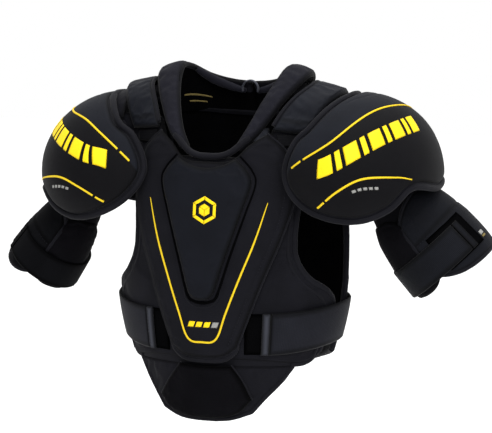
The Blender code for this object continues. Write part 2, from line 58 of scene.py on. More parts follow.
CHEST_HALF_WIDTH = 0.165
CHEST_HALF_DEPTH = 0.115
CHEST_CENTRE_Y = -0.005
CHEST_CENTRE_Z = -0.26
SHOULDER_RISE = 0.29
SHOULDER_ROUNDNESS = 3.0
BELLY_LEAN = 0.014
WAIST_TAPER = 0.12
HIP_TAPER = 0.28
SHOULDER_RADIUS = 0.050
SHOULDER_INNER = np.array((0.09, 0.0, -0.035))
SHOULDER_OUTER = np.array((0.20, 0.0, -0.060))
SHOULDER_BLEND = 0.030
YOKE_AXIS_Z = -0.060


def smooth(t):
    t = np.clip(t, 0.0, 1.0)
    return t * t * (3 - 2 * t)


def centre_y(z):
    return CHEST_CENTRE_Y - BELLY_LEAN * smooth((-0.08 - z) / 0.28)


def trunk_level(p):
    x, y, z = p[:, 0], p[:, 1] - centre_y(p[:, 2]), p[:, 2]
    waist = 1 - WAIST_TAPER * smooth((-0.26 - z) / 0.24)
    hips = 1 - HIP_TAPER * smooth((-0.26 - z) / 0.24)
    ring = np.hypot(x / (CHEST_HALF_WIDTH * hips), y / (CHEST_HALF_DEPTH * waist))
    lift = np.maximum(0.0, z - CHEST_CENTRE_Z)
    power = SHOULDER_ROUNDNESS
    size = np.maximum((ring**power + (lift / SHOULDER_RISE) ** power) ** (1 / power), 1e-6)
    return (1 - 1 / size) * np.sqrt(x * x + y * y + lift * lift)


def shoulder_level(p):
    q = np.column_stack((np.abs(p[:, 0]), p[:, 1] - CHEST_CENTRE_Y, p[:, 2]))
    bar = SHOULDER_OUTER - SHOULDER_INNER
    along = np.clip((q - SHOULDER_INNER) @ bar / (bar @ bar), 0.0, 1.0)
    return np.linalg.norm(q - SHOULDER_INNER - along[:, None] * bar, axis=1) - SHOULDER_RADIUS


def joined_level(p):
    a, b = trunk_level(p), shoulder_level(p)
    mix = np.clip(0.5 + 0.5 * (b - a) / SHOULDER_BLEND, 0.0, 1.0)
    return b * (1 - mix) + a * mix - SHOULDER_BLEND * mix * (1 - mix)


def level_slope(p):
    step = 1e-4
    slopes = [joined_level(p + step * axis) - joined_level(p - step * axis) for axis in np.eye(3)]
    return np.array(slopes).T / (2 * step)


def body_level(p):
    """Distance off the body, measured square to its surface."""
    return joined_level(p) / np.maximum(np.linalg.norm(level_slope(p), axis=1), 1e-9)


def body_normal(p):
    slope = level_slope(p)
    return slope / np.maximum(np.linalg.norm(slope, axis=1), 1e-9)[:, None]


def on_body(origin, direction, level):
    near = np.zeros(len(origin))
    far = np.full(len(origin), 0.40)
    for _ in range(24):
        middle = (near + far) / 2
        outside = body_level(origin + middle[:, None] * direction) > level
        near, far = np.where(outside, near, middle), np.where(outside, middle, far)
    return origin + far[:, None] * direction


def around(angle, z, level):
    """A point round the trunk: angle in degrees from the front middle towards +X, height z."""
    turn = np.radians(angle)
    way = (CHEST_HALF_WIDTH * np.sin(turn), -CHEST_HALF_DEPTH * np.cos(turn), 0 * turn)
    direction = unit(np.column_stack(way))
    return on_body(np.column_stack((0 * turn, centre_y(z), z)), direction, level)


def in_front(x, z, level):
    origin = np.column_stack((x, centre_y(z), z))
    return on_body(origin, np.tile((0.0, -1.0, 0.0), (len(x), 1)), level)


def over_shoulder(x, angle, level):
    """A point over the shoulder: angle 0 looks forwards, 90 up and 180 backwards."""
    turn = np.radians(angle)
    origin = np.column_stack((x, np.full(len(x), CHEST_CENTRE_Y), np.full(len(x), YOKE_AXIS_Z)))
    return on_body(origin, np.column_stack((0 * turn, -np.cos(turn), np.sin(turn))), level)


# ---------------------------------------------------------------- curves and patches


def unit(points):
    return points / np.linalg.norm(points, axis=1)[:, None]


def to_side(points, side):
    """Points made for the wearer's left, mirrored for the right."""
    return points * np.array((SIDES[side], 1, 1))


def run_along(points):
    """The length of a line of points up to each of them."""
    return np.concatenate(([0.0], np.cumsum(np.linalg.norm(np.diff(points, axis=0), axis=1))))


def spline(points, at, closed=False):
    """Catmull-Rom curve through the points, read at shares `at` of its length."""
    p = np.array(points, float)
    if closed:
        p = np.vstack((p[-1], p, p[0], p[1]))
    else:
        p = np.vstack((2 * p[0] - p[1], p, 2 * p[-1] - p[-2]))
    fine = []
    for a, b, c, d in zip(p, p[1:], p[2:], p[3:]):
        t = np.linspace(0, 1, 12, endpoint=False)[:, None]
        cubic = (2 * a - 5 * b + 4 * c - d) * t**2 + (3 * b - a - 3 * c + d) * t**3
        fine.append(0.5 * (2 * b + (c - a) * t + cubic))
    fine = np.vstack((*fine, p[-2][None]))
    run = run_along(fine)
    at = np.atleast_1d(at) * run[-1]
    return np.column_stack([np.interp(at, run, fine[:, k]) for k in range(fine.shape[1])])


def mirrored(half):
    return [(-a, b) for a, b in reversed(half[1:])] + list(half)


def patch(bottom, top, left, right):
    b0, b1, t0, t1 = (np.array(p, float) for p in (bottom[0], bottom[-1], top[0], top[-1]))

    def read(u, v):
        rim = (1 - v)[:, None] * spline(bottom, u) + v[:, None] * spline(top, u)
        rim += (1 - u)[:, None] * spline(left, v) + u[:, None] * spline(right, v)
        flat = np.outer((1 - u) * (1 - v), b0) + np.outer(u * (1 - v), b1)
        return rim - flat - np.outer((1 - u) * v, t0) - np.outer(u * v, t1)

    return read


def symmetric(bottom, top, side):
    return patch(mirrored(bottom), mirrored(top), [(-a, z) for a, z in side], side)


def away_from(points, line, closed=False):
    """Each point's distance to a line of points."""
    ends = np.vstack((line, line[:1])) if closed else line
    best = np.full(len(points), 1e9)
    for a, b in zip(ends, ends[1:]):
        run = b - a
        share = np.clip((points - a) @ run / max(run @ run, 1e-12), 0.0, 1.0)
        best = np.minimum(best, ((points - a - share[:, None] * run) ** 2).sum(axis=1))
    return np.sqrt(best)


def ripple(points, size, seed=0.0):
    """Smooth noise from -1 to 1 with bumps about `size` across."""
    return np.array([noise.noise(Vector(p / size + seed)) for p in points])


# ---------------------------------------------------------------- materials

BANDS = 0.314  # a wave texture of scale BANDS / w repeats every w metres
FUZZ = 0.6
STAIN_SCALE, FOLD_SCALE, GRAIN_SCALE = 22.0, 38.0, 900.0


def link(tree, a, b):
    tree.links.new(a, b)


def node(tree, kind, **values):
    made = tree.nodes.new(kind)
    for name, value in values.items():
        if name in made.inputs:
            made.inputs[name].default_value = value
        else:
            setattr(made, name, value)
    return made


def texture(tree, kind, source, **values):
    made = node(tree, kind, **values)
    link(tree, source, made.inputs["Vector"])
    return made.outputs["Fac"]


def span(tree, source, goal, start=(0.0, 1.0)):
    """Maps a value from the range start to the range goal."""
    made = node(tree, "ShaderNodeMapRange")
    for end, k in (("Min", 0), ("Max", 1)):
        made.inputs["From " + end].default_value = start[k]
        made.inputs["To " + end].default_value = goal[k]
    link(tree, source, made.inputs["Value"])
    return made.outputs["Result"]


def combine(tree, operation, *sources):
    """A math node fed by sockets or plain numbers."""
    made = node(tree, "ShaderNodeMath", operation=operation)
    for socket, source in zip(made.inputs, sources):
        if isinstance(source, float):
            socket.default_value = source
        else:
            link(tree, source, socket)
    return made.outputs["Value"]


def bumped(tree, height, strength, distance, below=None):
    made = node(tree, "ShaderNodeBump", Strength=strength, Distance=distance)
    link(tree, height, made.inputs["Height"])
    if below:
        link(tree, below, made.inputs["Normal"])
    return made.outputs["Normal"]


def new_material(name):
    made = bpy.data.materials.new(name)
    made.use_nodes = True
    return made, made.node_tree, made.node_tree.nodes["Principled BSDF"].inputs


def cloth_material(name, colour, rough, weave, depth, sheen=0.02, mottle=0.22, specular=0.14, style="knit"):
    """A woven, knitted or brushed surface with painted shade along its edges and grooves: weave is its repeat in
    metres, depth its relief.
    """
    made, tree, sockets = new_material(name)
    sockets["Roughness"].default_value = rough
    sockets["IOR"].default_value = 1.0 + specular
    sockets["Sheen Weight"].default_value = sheen
    sockets["Sheen Roughness"].default_value = 0.4
    flat = node(tree, "ShaderNodeUVMap", uv_map="metres").outputs["UV"]
    solid = node(tree, "ShaderNodeTexCoord").outputs["Object"]
    threads = []
    for way, size in (("X", 1.0), ("Y", 1.0 if style == "weave" else 0.6)):
        scale = BANDS / weave * size
        values = {"Scale": scale, "Distortion": 0.6, "Detail": 1.0, "bands_direction": way}
        threads.append(texture(tree, "ShaderNodeTexWave", flat, **values))
    crossed = combine(tree, "MULTIPLY", *threads)
    fuzz = texture(tree, "ShaderNodeTexNoise", flat, Scale=FUZZ / weave, Detail=3.0)
    stains = texture(tree, "ShaderNodeTexNoise", solid, Scale=STAIN_SCALE, Detail=4.0)
    folds = texture(tree, "ShaderNodeTexNoise", solid, Scale=FOLD_SCALE, Detail=2.0)
    relief = combine(tree, "MULTIPLY_ADD", fuzz, 2.0 if style == "pile" else 0.5, crossed)
    waves = bumped(tree, folds, 0.35, 0.0012)
    link(tree, bumped(tree, relief, 0.55, depth, waves), sockets["Normal"])
    # Painted shade: the base colour falls to 0.12 of itself at an edge or groove and is full again 6 mm away,
    # standing in for the shadow in grooves and along rims
    gap = node(tree, "ShaderNodeAttribute", attribute_name="gap").outputs["Fac"]
    painted_seam_shade = span(tree, gap, (0.12, 1.0), (0.0, 0.006))
    stain = span(tree, stains, (1 - mottle, 1 + mottle), (0.3, 0.7))
    speck = span(tree, crossed, (0.80, 1.30))
    tint = node(tree, "ShaderNodeVectorMath", operation="SCALE")
    tint.inputs[0].default_value = colour
    gain = combine(tree, "MULTIPLY", combine(tree, "MULTIPLY", painted_seam_shade, stain), speck)
    link(tree, gain, tint.inputs["Scale"])
    link(tree, tint.outputs["Vector"], sockets["Base Color"])
    return made


def woven(name, colour, rough, weave, depth, **values):
    return cloth_material(name, colour, rough, weave, depth, style="weave", **values)


def plastic_material(name, colour, rough, grain=0.0002):
    made, tree, sockets = new_material(name)
    sockets["Base Color"].default_value = (*colour, 1.0)
    sockets["IOR"].default_value = 1.2
    solid = node(tree, "ShaderNodeTexCoord").outputs["Object"]
    fine = texture(tree, "ShaderNodeTexNoise", solid, Scale=GRAIN_SCALE, Detail=2.0)
    link(tree, span(tree, fine, (rough - 0.08, rough + 0.08)), sockets["Roughness"])
    link(tree, bumped(tree, fine, 0.5, grain), sockets["Normal"])
    return made


BLACK = (0.0023, 0.0022, 0.0029)
SLATE = (0.0052, 0.0059, 0.0088)
CHARCOAL = (0.0042, 0.0042, 0.0060)

KNIT = cloth_material("black_knit_cloth", CHARCOAL, 0.80, 0.0016, 0.0002)
BLACK_KNIT = cloth_material("deep_black_knit", BLACK, 0.82, 0.0014, 0.0002, sheen=0.01, specular=0.08)
SHELL = woven("slate_shell_cloth", SLATE, 0.60, 0.0009, 0.0001, sheen=0.03, mottle=0.16)
COLLAR_CLOTH = cloth_material("collar_cloth", (0.0058, 0.0058, 0.0090), 0.75, 0.0012, 0.0002, sheen=0.03)
LINING = woven("mesh_lining_cloth", (0.0012, 0.0012, 0.0014), 0.9, 0.0030, 0.0006, sheen=0.0, specular=0.04)
FOAM_CLOTH = woven("foam_lining_cloth", (0.0030, 0.0030, 0.0036), 0.9, 0.0024, 0.0005, sheen=0.0)
BINDING = cloth_material("knit_binding", CHARCOAL, 0.7, 0.0018, 0.0002, sheen=0.04)
ELASTIC = woven("elastic_webbing", (0.0068, 0.0072, 0.0102), 0.7, 0.0022, 0.0004, sheen=0.03)
STERNUM_CLOTH = woven("sternum_shell_cloth", (0.0036, 0.0041, 0.0064), 0.65, 0.0009, 0.0001, mottle=0.16)
GUARD_CLOTH = woven("guard_shell_cloth", (0.0024, 0.0025, 0.0031), 0.75, 0.0011, 0.0001, sheen=0.01,
                    specular=0.08)
CUFF = woven("cuff_elastic", (0.0034, 0.0038, 0.0056), 0.7, 0.0022, 0.0004)
WEBBING = woven("grey_webbing_cloth", (0.034, 0.036, 0.046), 0.65, 0.0016, 0.0003, sheen=0.05)
PILE = cloth_material("loop_pile_cloth", (0.0014, 0.0014, 0.0016), 0.98, 0.0012, 0.0008, sheen=0.0,
                      specular=0.04, style="pile")
YELLOW = plastic_material("yellow_print", (0.66, 0.47, 0.006), 0.5)
YELLOW_CORD = plastic_material("yellow_cord", (0.56, 0.39, 0.010), 0.55, grain=0.0003)
LABEL = plastic_material("woven_label", (0.13, 0.10, 0.035), 0.7)
SILVER = plastic_material("silver_print", (0.20, 0.20, 0.19), 0.5)
PLASTIC = plastic_material("moulded_plastic_sheet", (0.006, 0.006, 0.007), 0.45)
THREAD = plastic_material("grey_thread", (0.011, 0.011, 0.015), 0.7)


# ---------------------------------------------------------------- mesh pieces


def make_mesh(name, points, faces, uv, gap, material, body):
    """A smooth mesh piece that rides on a CAD body; uv in metres, gap is distance to the nearest edge."""
    points = np.asarray(points, float)
    corners = np.array([points[list(f[:3])] for f in faces])
    volume = np.einsum("ij,ij->", corners[:, 0], np.cross(corners[:, 1], corners[:, 2]))
    if volume < 0:
        faces = [f[::-1] for f in faces]
    mesh = bpy.data.meshes.new(name)
    mesh.from_pydata(points.tolist(), [], [list(map(int, f)) for f in faces])
    mesh.shade_smooth()
    layer = mesh.uv_layers.new(name="metres")
    corner_index = np.zeros(len(mesh.loops), int)
    mesh.loops.foreach_get("vertex_index", corner_index)
    layer.data.foreach_set("uv", np.asarray(uv, np.float32)[corner_index].ravel())
    mesh.attributes.new("gap", "FLOAT", "POINT").data.foreach_set("value", np.asarray(gap, np.float32))
    mesh.materials.append(material)
    obj = bpy.data.objects.new(name, mesh)
    bpy.context.scene.collection.objects.link(obj)
    if body:
        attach(obj, body)
    return obj


def spread(count, crowd=0.5):
    """Shares from 0 to 1, closer together near both ends."""
    s = np.linspace(0, 1, count)
    return s * (1 - crowd) + (0.5 - 0.5 * np.cos(np.pi * s)) * crowd


SWELL_PRESSURE = 2.0
SWELL_FRAMES = 12
SWELL_SLACK = 0.015
HELD_GAP = 0.0035  # a swelling pad stays sewn down this near to its seams


def settle(obj, pinned, reach):
    """Swells a pad with a short cloth simulation, then keeps the result, no point moving past `reach`."""
    count = len(obj.data.vertices)
    before = np.zeros(count * 3)
    obj.data.vertices.foreach_get("co", before)
    group = obj.vertex_groups.new(name="held")
    group.add([int(i) for i in pinned], 1.0, "REPLACE")
    cloth = obj.modifiers.new("swell", "CLOTH")
    cloth.settings.quality = 4
    cloth.settings.mass = 0.2
    cloth.settings.tension_stiffness = 12
    cloth.settings.compression_stiffness = 8
    cloth.settings.bending_stiffness = 0.8
    cloth.settings.vertex_group_mass = "held"
    cloth.settings.use_pressure = True
    cloth.settings.uniform_pressure_force = SWELL_PRESSURE
    cloth.settings.effector_weights.gravity = 0
    cloth.settings.shrink_min = -SWELL_SLACK
    cloth.collision_settings.use_collision = False
    cloth.point_cache.frame_start = 1
    cloth.point_cache.frame_end = SWELL_FRAMES
    scene = bpy.context.scene
    for step in range(1, SWELL_FRAMES + 1):
        scene.frame_set(step)
    result = obj.evaluated_get(bpy.context.evaluated_depsgraph_get()).data
    after = np.zeros(count * 3)
    result.vertices.foreach_get("co", after)
    obj.modifiers.remove(cloth)
    obj.vertex_groups.remove(group)
    scene.frame_set(1)
    move = (after - before).reshape(-1, 3)
    length = np.maximum(np.linalg.norm(move, axis=1), 1e-9)
    move *= (np.minimum(length, reach) / length)[:, None]
    obj.data.vertices.foreach_set("co", before + move.ravel())
    obj.data.update()


def grid_faces(here, follow):
    """Four-sided faces between closed rows of point numbers and the rows that follow them."""
    corners = (here, np.roll(here, -1, axis=1), np.roll(follow, -1, axis=1), follow)
    return [tuple(q) for q in np.stack(corners, axis=-1).reshape(-1, 4)]


def closed_under(faces, count, rim):
    """A layer's faces with a copy of them underneath, joined along the rim, and the points that they use."""
    under = np.arange(count) + count
    under[rim] = rim
    faces = faces + [tuple(under[list(f)][::-1]) for f in faces]
    used = np.unique(np.concatenate([np.array(f) for f in faces]))
    remap = np.zeros(2 * count, int)
    remap[used] = np.arange(len(used))
    return [tuple(remap[list(f)]) for f in faces], used


def rounded(gap, edge):
    """How far in from a rounded edge, from 0 to 1, and how high it has risen there."""
    share = np.clip(gap / edge, 0.0, 1.0)
    return share, np.sqrt(1 - (1 - share) ** 2)


class Sheet:
    """A grid over a patch, from which a pad's shape and the lines along its edge are read."""

    def __init__(self, place, counts, side="left", crowd=0.5):
        self.place, self.counts, self.side = place, counts, side
        u, v = np.meshgrid(spread(counts[0], crowd), spread(counts[1], crowd), indexing="ij")
        self.u, self.v = u.ravel(), v.ravel()
        index = np.arange(len(self.u)).reshape(counts)
        self.index = index
        self.rim = np.concatenate((index[:, 0], index[-1, 1:], index[-2::-1, -1], index[0, -2:0:-1]))

    def at(self, level):
        return to_side(self.place(self.u, self.v, np.broadcast_to(level, self.u.shape)), self.side)

    def line(self, u, v, level):
        """Points at shares (u, v) of the patch."""
        u, v = np.broadcast_arrays(np.asarray(u, float), np.asarray(v, float))
        return to_side(self.place(u, v, np.full(len(u), level)), self.side)


def rows(sheet, shares, level, depth, width):
    """Grooves that run across a sheet at shares of its length."""
    return [(sheet.line(EVEN, share, level), depth, width) for share in shares]


def pad(name, sheet, levels, material, body, nodes=(), edge=0.008, crown=0.0, grooves=(), swell=0.0,
        wrinkle=0.0):
    """A crowned pad between two levels, with a rounded edge and sewn grooves (line, depth, width)."""
    low, high = levels
    middle = low + 0.35 * (high - low)
    mid = sheet.at(middle)
    gap = away_from(mid, mid[sheet.rim], closed=True)
    share, rise = rounded(gap, edge)
    top_level = middle + (high - middle) * rise + crown * (1 - np.exp(-gap / 0.03)) * share
    # Distance to the nearest edge or groove, kept as the "gap" attribute; the cloth materials darken towards it as
    # painted shade
    near_seam = gap.copy()
    for line, depth, width in grooves:
        away = away_from(mid, line)
        top_level -= depth * np.exp(-((away / width) ** 2)) * share
        near_seam = np.minimum(near_seam, away)
    if wrinkle:
        close = np.exp(-near_seam / 0.012)
        top_level += wrinkle * ripple(mid, 0.011) * close * share
        top_level += 0.35 * wrinkle * ripple(mid, 0.045, 7.0) * share
    top = sheet.at(np.maximum(top_level, middle))
    bottom = sheet.at(middle - (middle - low) * rise)
    count = len(top)
    grid = sheet.index
    quads = np.stack((grid[:-1, :-1], grid[1:, :-1], grid[1:, 1:], grid[:-1, 1:]), axis=-1).reshape(-1, 4)
    faces, used = closed_under([tuple(q) for q in quads], count, sheet.rim)
    long_u = run_along(mid[grid[:, grid.shape[1] // 2]])[-1]
    long_v = run_along(mid[grid[grid.shape[0] // 2]])[-1]
    uv = np.column_stack((sheet.u * long_u, sheet.v * long_v))
    points, uv, gaps = np.vstack((top, bottom))[used], np.vstack((uv, uv))[used], np.tile(near_seam, 2)[used]
    obj = make_mesh(name, points, faces, uv, gaps, material, body)
    if swell:
        settle(obj, [i for i, k in enumerate(used) if k >= count or near_seam[k] < HELD_GAP], swell)
    if nodes:
        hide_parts(*nodes)
    return obj


def roll(name, points, radius, material, body, nodes=(), closed=False, sides=10, squash=1.0, normals=None,
         pucker=0.0, slot_name=None):
    """A rolled binding or cord: a tube along the points, flattened along their normals by `squash`."""
    points = np.asarray(points, float)
    count = len(points)
    radius = np.broadcast_to(radius, (count,)).astype(float)
    if closed:
        ahead = np.roll(points, -1, axis=0) - np.roll(points, 1, axis=0)
    else:
        ahead = np.gradient(points, axis=0)
    ahead /= np.linalg.norm(ahead, axis=1)[:, None]
    normals = body_normal(points) if normals is None else np.asarray(normals, float)
    across = np.cross(ahead, normals)
    across /= np.maximum(np.linalg.norm(across, axis=1), 1e-9)[:, None]
    up = np.cross(across, ahead)
    turn = np.linspace(0, 2 * math.pi, sides, endpoint=False)
    run = run_along(points)
    rings = []
    for k in range(count):
        wave = 1 + pucker * noise.noise(Vector((run[k] / 0.006, 3.1, 0.7)))
        ring = np.outer(np.cos(turn), across[k]) + np.outer(np.sin(turn) * squash, up[k])
        rings.append(points[k] + radius[k] * wave * ring)
    verts = np.vstack(rings)
    index = np.arange(count * sides).reshape(count, sides)
    if closed:
        faces = grid_faces(index, np.roll(index, -1, axis=0))
    else:
        faces = grid_faces(index[:-1], index[1:]) + [tuple(index[0][::-1]), tuple(index[-1])]
    uv = np.column_stack((np.repeat(run, sides), np.tile(turn, count) * radius.mean()))
    obj = make_mesh(name, verts, faces, uv, np.full(len(verts), 0.006), material, body)
    if nodes:
        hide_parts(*nodes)
    return obj


def binding(name, points, radius, body="vest", pucker=0.05, **values):
    return roll(name, points, radius, BINDING, body, pucker=pucker, **values)


STITCH, STITCH_SPACE, STITCH_WIDTH = 0.0030, 0.0018, 0.00045


def stitches(name, points, normals, body):
    """A row of sewn stitches along the points, lying on the surface."""
    run = run_along(points)
    verts, faces, uv = [], [], []
    for start in np.arange(0.0005, run[-1] - STITCH, STITCH + STITCH_SPACE):
        a = np.array([np.interp(start, run, points[:, k]) for k in range(3)])
        b = np.array([np.interp(start + STITCH, run, points[:, k]) for k in range(3)])
        n = np.array([np.interp(start, run, normals[:, k]) for k in range(3)])
        n *= STITCH_WIDTH / np.linalg.norm(n)
        side = np.cross(b - a, n)
        side *= STITCH_WIDTH / max(np.linalg.norm(side), 1e-12)
        m = (a + b) / 2
        k = len(verts)
        verts += [a, b, m + side, m - side, m + n, m - n]
        faces += [(k, k + 2, k + 4), (k, k + 4, k + 3), (k, k + 3, k + 5), (k, k + 5, k + 2)]
        faces += [(k + 1, k + 4, k + 2), (k + 1, k + 3, k + 4), (k + 1, k + 5, k + 3), (k + 1, k + 2, k + 5)]
        uv += [(start, 0.0)] * 6
    make_mesh(name, verts, faces, uv, np.full(len(verts), 0.01), THREAD, body)


def sew(name, sheet, u, v, level, body):
    """Stitches along a line of a patch, on its surface at a level."""
    points = sheet.line(u, v, level)
    stitches(name, points, unit(sheet.line(u, v, level + 0.001) - points), body)


EVEN = np.linspace(0, 1, 90)


# ---------------------------------------------------------------- vest front

LINER = (-0.4 * MM, 1.1 * MM)
PANEL = (2.5 * MM, 11.0 * MM)
PLATE = (16.0 * MM, 24.0 * MM)
STERNUM = (25.2 * MM, 34.5 * MM)
YOKE = (13.0 * MM, 24.0 * MM)

PANEL_SIDE = (
    (70, -0.363), (75, -0.328), (76, -0.294), (69, -0.272), (54, -0.250), (45.5, -0.215),
    (46, -0.165), (52, -0.100), (60, -0.050), (68, -0.020),
)
PANEL_NECK = ((0, -0.071), (14, -0.073), (22, -0.070), (32, -0.047), (42, -0.024), (55, -0.016), (68, -0.020))
PANEL_HEM = ((0, -0.373), (25, -0.374), (50, -0.381), (62, -0.378), (70, -0.365))
PLATE_HEM = ((0, -0.366), (0.030, -0.363), (0.050, -0.350))
PLATE_NECK = ((0, -0.079), (0.036, -0.076), (0.060, -0.054), (0.083, -0.038))
PLATE_SIDE = (
    (0.050, -0.350), (0.066, -0.308), (0.088, -0.247), (0.112, -0.182), (0.124, -0.125), (0.112, -0.068),
    (0.083, -0.038),
)
STERNUM_FOOT = ((0, -0.279), (0.012, -0.277), (0.020, -0.268))
STERNUM_BROW = ((0, -0.087), (0.024, -0.083), (0.046, -0.073))
STERNUM_SIDE = (
    (0.020, -0.268), (0.036, -0.215), (0.057, -0.150), (0.069, -0.110), (0.064, -0.092), (0.046, -0.073),
)
YELLOW_V = (
    (0, -0.342), (0.016, -0.341), (0.026, -0.330), (0.036, -0.300), (0.056, -0.246), (0.076, -0.192),
    (0.092, -0.136),
)
FRONT_SEAM = ((0.060, -0.350), (0.078, -0.300), (0.098, -0.245), (0.122, -0.190))
PLATE_SEAM = (
    (0.040, -0.345), (0.056, -0.305), (0.078, -0.246), (0.102, -0.182), (0.113, -0.127), (0.103, -0.078),
)
STERNUM_GROOVE = (
    (0.0, -0.285), (0.013, -0.283), (0.024, -0.272), (0.041, -0.217), (0.062, -0.152), (0.074, -0.110),
    (0.068, -0.089), (0.050, -0.069),
)
# The line of a dark cord of painted shadow, laid just inside the groove round the sternum pad
CHANNEL = (
    (0.0, -0.2835), (0.013, -0.2815), (0.0235, -0.271), (0.0405, -0.216), (0.0612, -0.151), (0.0732, -0.110),
    (0.067, -0.0895), (0.049, -0.0695),
)
CHANNEL_LIP = ((0.0, -0.2905), (0.014, -0.288), (0.025, -0.277), (0.029, -0.262))
PLATE_FOOT = ((0, -0.3705), (0.028, -0.3685), (0.045, -0.358), (0.053, -0.346))
NECKLINE = ((0, -0.0715), (0.018, -0.0705), (0.034, -0.064), (0.050, -0.050), (0.058, -0.043))

# The linings are their panels' outlines, drawn in a little towards this height
LINING_WIDTH, LINING_HEIGHT, LINING_MIDDLE = 0.96, 0.965, -0.2


def flat_sheet(outline, projector, counts, side="left"):
    shape = symmetric(*outline) if len(outline) == 3 else patch(*outline)

    def place(u, v, level):
        return projector(*shape(u, v).T, level)

    return Sheet(place, counts, side)


def lining_sheet(outline, projector):
    drawn_in = [
        [(a * LINING_WIDTH, LINING_MIDDLE + (z - LINING_MIDDLE) * LINING_HEIGHT) for a, z in line]
        for line in outline
    ]
    return flat_sheet(drawn_in, projector, (60, 50))


def edge_line(sheet, which, level, count, start=0.0, end=1.0):
    """A patch's edge as points: bottom, top, west (u = 0) or east (u = 1)."""
    t = np.linspace(start, end, count)
    u, v = {"bottom": (t, 0 * t), "top": (t, 0 * t + 1), "west": (0 * t, t), "east": (0 * t + 1, t)}[which]
    return sheet.line(u, v, level)


def open_edge(sheet, level, tall, wide):
    """A patch's two sides and its foot as one line of points."""
    counts = (("west", tall), ("bottom", wide), ("east", tall))
    west, foot, east = (edge_line(sheet, which, level, count) for which, count in counts)
    return np.vstack((west[::-1], foot[1:], east[1:]))


def front_line(points, level):
    """A curve down one side of the chest through points (x, z)."""
    return in_front(*spline(points, EVEN).T, level)


def across_front(half, level, count):
    """A curve over the whole chest, from its left half."""
    return in_front(*spline(mirrored(half), np.linspace(0, 1, count)).T, level)


def vest_front():
    outline = (PANEL_HEM, PANEL_NECK, PANEL_SIDE)
    panel = flat_sheet(outline, around, (110, 80))
    seam = front_line(FRONT_SEAM, PANEL[1])
    pad("front_panel_cloth", panel, PANEL, KNIT, "vest", ["front_panel"], edge=0.006, wrinkle=0.8 * MM,
        grooves=[(to_side(seam, side), 1.5 * MM, 5 * MM) for side in SIDES], swell=0.0009)
    pad("front_lining_cloth", lining_sheet(outline, around), LINER, LINING, "vest", ["front_liner"],
        edge=0.0015)
    for which, side, ridge_u in (("east", "left", 0.955), ("west", "right", 0.045)):
        binding("front_side_binding_" + side, edge_line(panel, which, 7.5 * MM, 150), 5.2 * MM, pucker=0.06)
        ridge = panel.line(ridge_u, np.linspace(0.0, 0.97, 150), PANEL[1] - 1.6 * MM)
        binding("front_side_ridge_" + side, ridge, 3.4 * MM, squash=0.8)
    hem = panel.line(np.linspace(0, 0.16, 30), 0.0, 7 * MM)
    binding("front_hem_binding_right", hem, 4.2 * MM)
    binding("front_hem_binding_left", hem * np.array((-1, 1, 1)), 4.2 * MM)

    plate = flat_sheet((PLATE_HEM, PLATE_NECK, PLATE_SIDE), in_front, (96, 110))
    plate_seam = front_line(PLATE_SEAM, PLATE[1])
    cuts = (
        (front_line(STERNUM_GROOVE, PLATE[1]), 5.5 * MM, 5.0 * MM),
        (front_line(YELLOW_V, PLATE[1]), 1.6 * MM, 3.6 * MM),
        (plate_seam, 1.5 * MM, 2.6 * MM),
    )
    grooves = [(to_side(line, side), depth, width) for side in SIDES for line, depth, width in cuts]
    pad("chest_plate_cloth", plate, PLATE, KNIT, "vest", ["chest_plate"], edge=0.009, crown=1.0 * MM,
        grooves=grooves, wrinkle=0.5 * MM, swell=0.0004)
    for side in SIDES:
        line = to_side(plate_seam, side)
        normals = body_normal(line)
        stitches("plate_stitches_" + side, line + normals * 0.4 * MM, normals, "vest")
    binding("plate_edge_roll", open_edge(plate, 18.5 * MM, 120, 60), 1.9 * MM, pucker=0.08)

    from_middle = np.abs(np.linspace(-1, 1, 200))
    thick = 0.5 * MM + 1.0 * MM * np.clip((1 - from_middle) * 3.2, 0, 1) ** 0.7
    roll("chest_piping_cord", across_front(YELLOW_V, PLATE[1] + 1.2 * MM, 200), thick, YELLOW_CORD, "vest",
         ["chest_piping"], squash=0.75, slot_name="yellow_piping")

    sternum = flat_sheet((STERNUM_FOOT, STERNUM_BROW, STERNUM_SIDE), in_front, (72, 90))
    pad("sternum_cloth", sternum, STERNUM, STERNUM_CLOTH, "vest", ["sternum_pad"], edge=0.0085, crown=1.2 * MM,
        wrinkle=0.3 * MM, swell=0.0004)
    # Painted shadow: a dark cord of lining cloth laid in the groove round the sternum pad, for the shade in that
    # channel
    thick = (1.2 + 1.3 * (1 - from_middle)) * MM
    channel = across_front(CHANNEL, PLATE[1] - 1.2 * MM, 200)
    roll("sternum_channel_shadow_cord", channel, thick, LINING, "vest", pucker=0.04)
    thick = 1.6 * MM * (1 - 0.7 * np.abs(np.linspace(-1, 1, 60)) ** 4)
    binding("sternum_channel_lip", across_front(CHANNEL_LIP, PLATE[1] - 0.4 * MM, 60), thick, pucker=0.04)
    thick = 4.4 * MM * (1 - 0.75 * np.abs(np.linspace(-1, 1, 90)) ** 6)
    binding("plate_foot_roll", across_front(PLATE_FOOT, 16.5 * MM, 90), thick, pucker=0.07)
    binding("neckline_roll", across_front(NECKLINE, 15.5 * MM, 90), 5.0 * MM, pucker=0.07,
            nodes=["neckline_binding"], slot_name="grey_webbing")


# ---------------------------------------------------------------- small marks


def mark(name, place, outline, level, material, body, counts=(8, 6), side="left"):
    """A thin raised mark with four corners, laid on a surface that place(a, b, level) gives."""
    corners = np.array(outline, float)

    def read(u, v, lev):
        flat = np.outer((1 - u) * (1 - v), corners[0]) + np.outer(u * (1 - v), corners[1])
        flat += np.outer(u * v, corners[2]) + np.outer((1 - u) * v, corners[3])
        return place(flat[:, 0], flat[:, 1], lev)

    sheet = Sheet(read, counts, side, crowd=0.0)
    pad(name, sheet, (level, level + 0.5 * MM), material, body, edge=0.5 * MM)


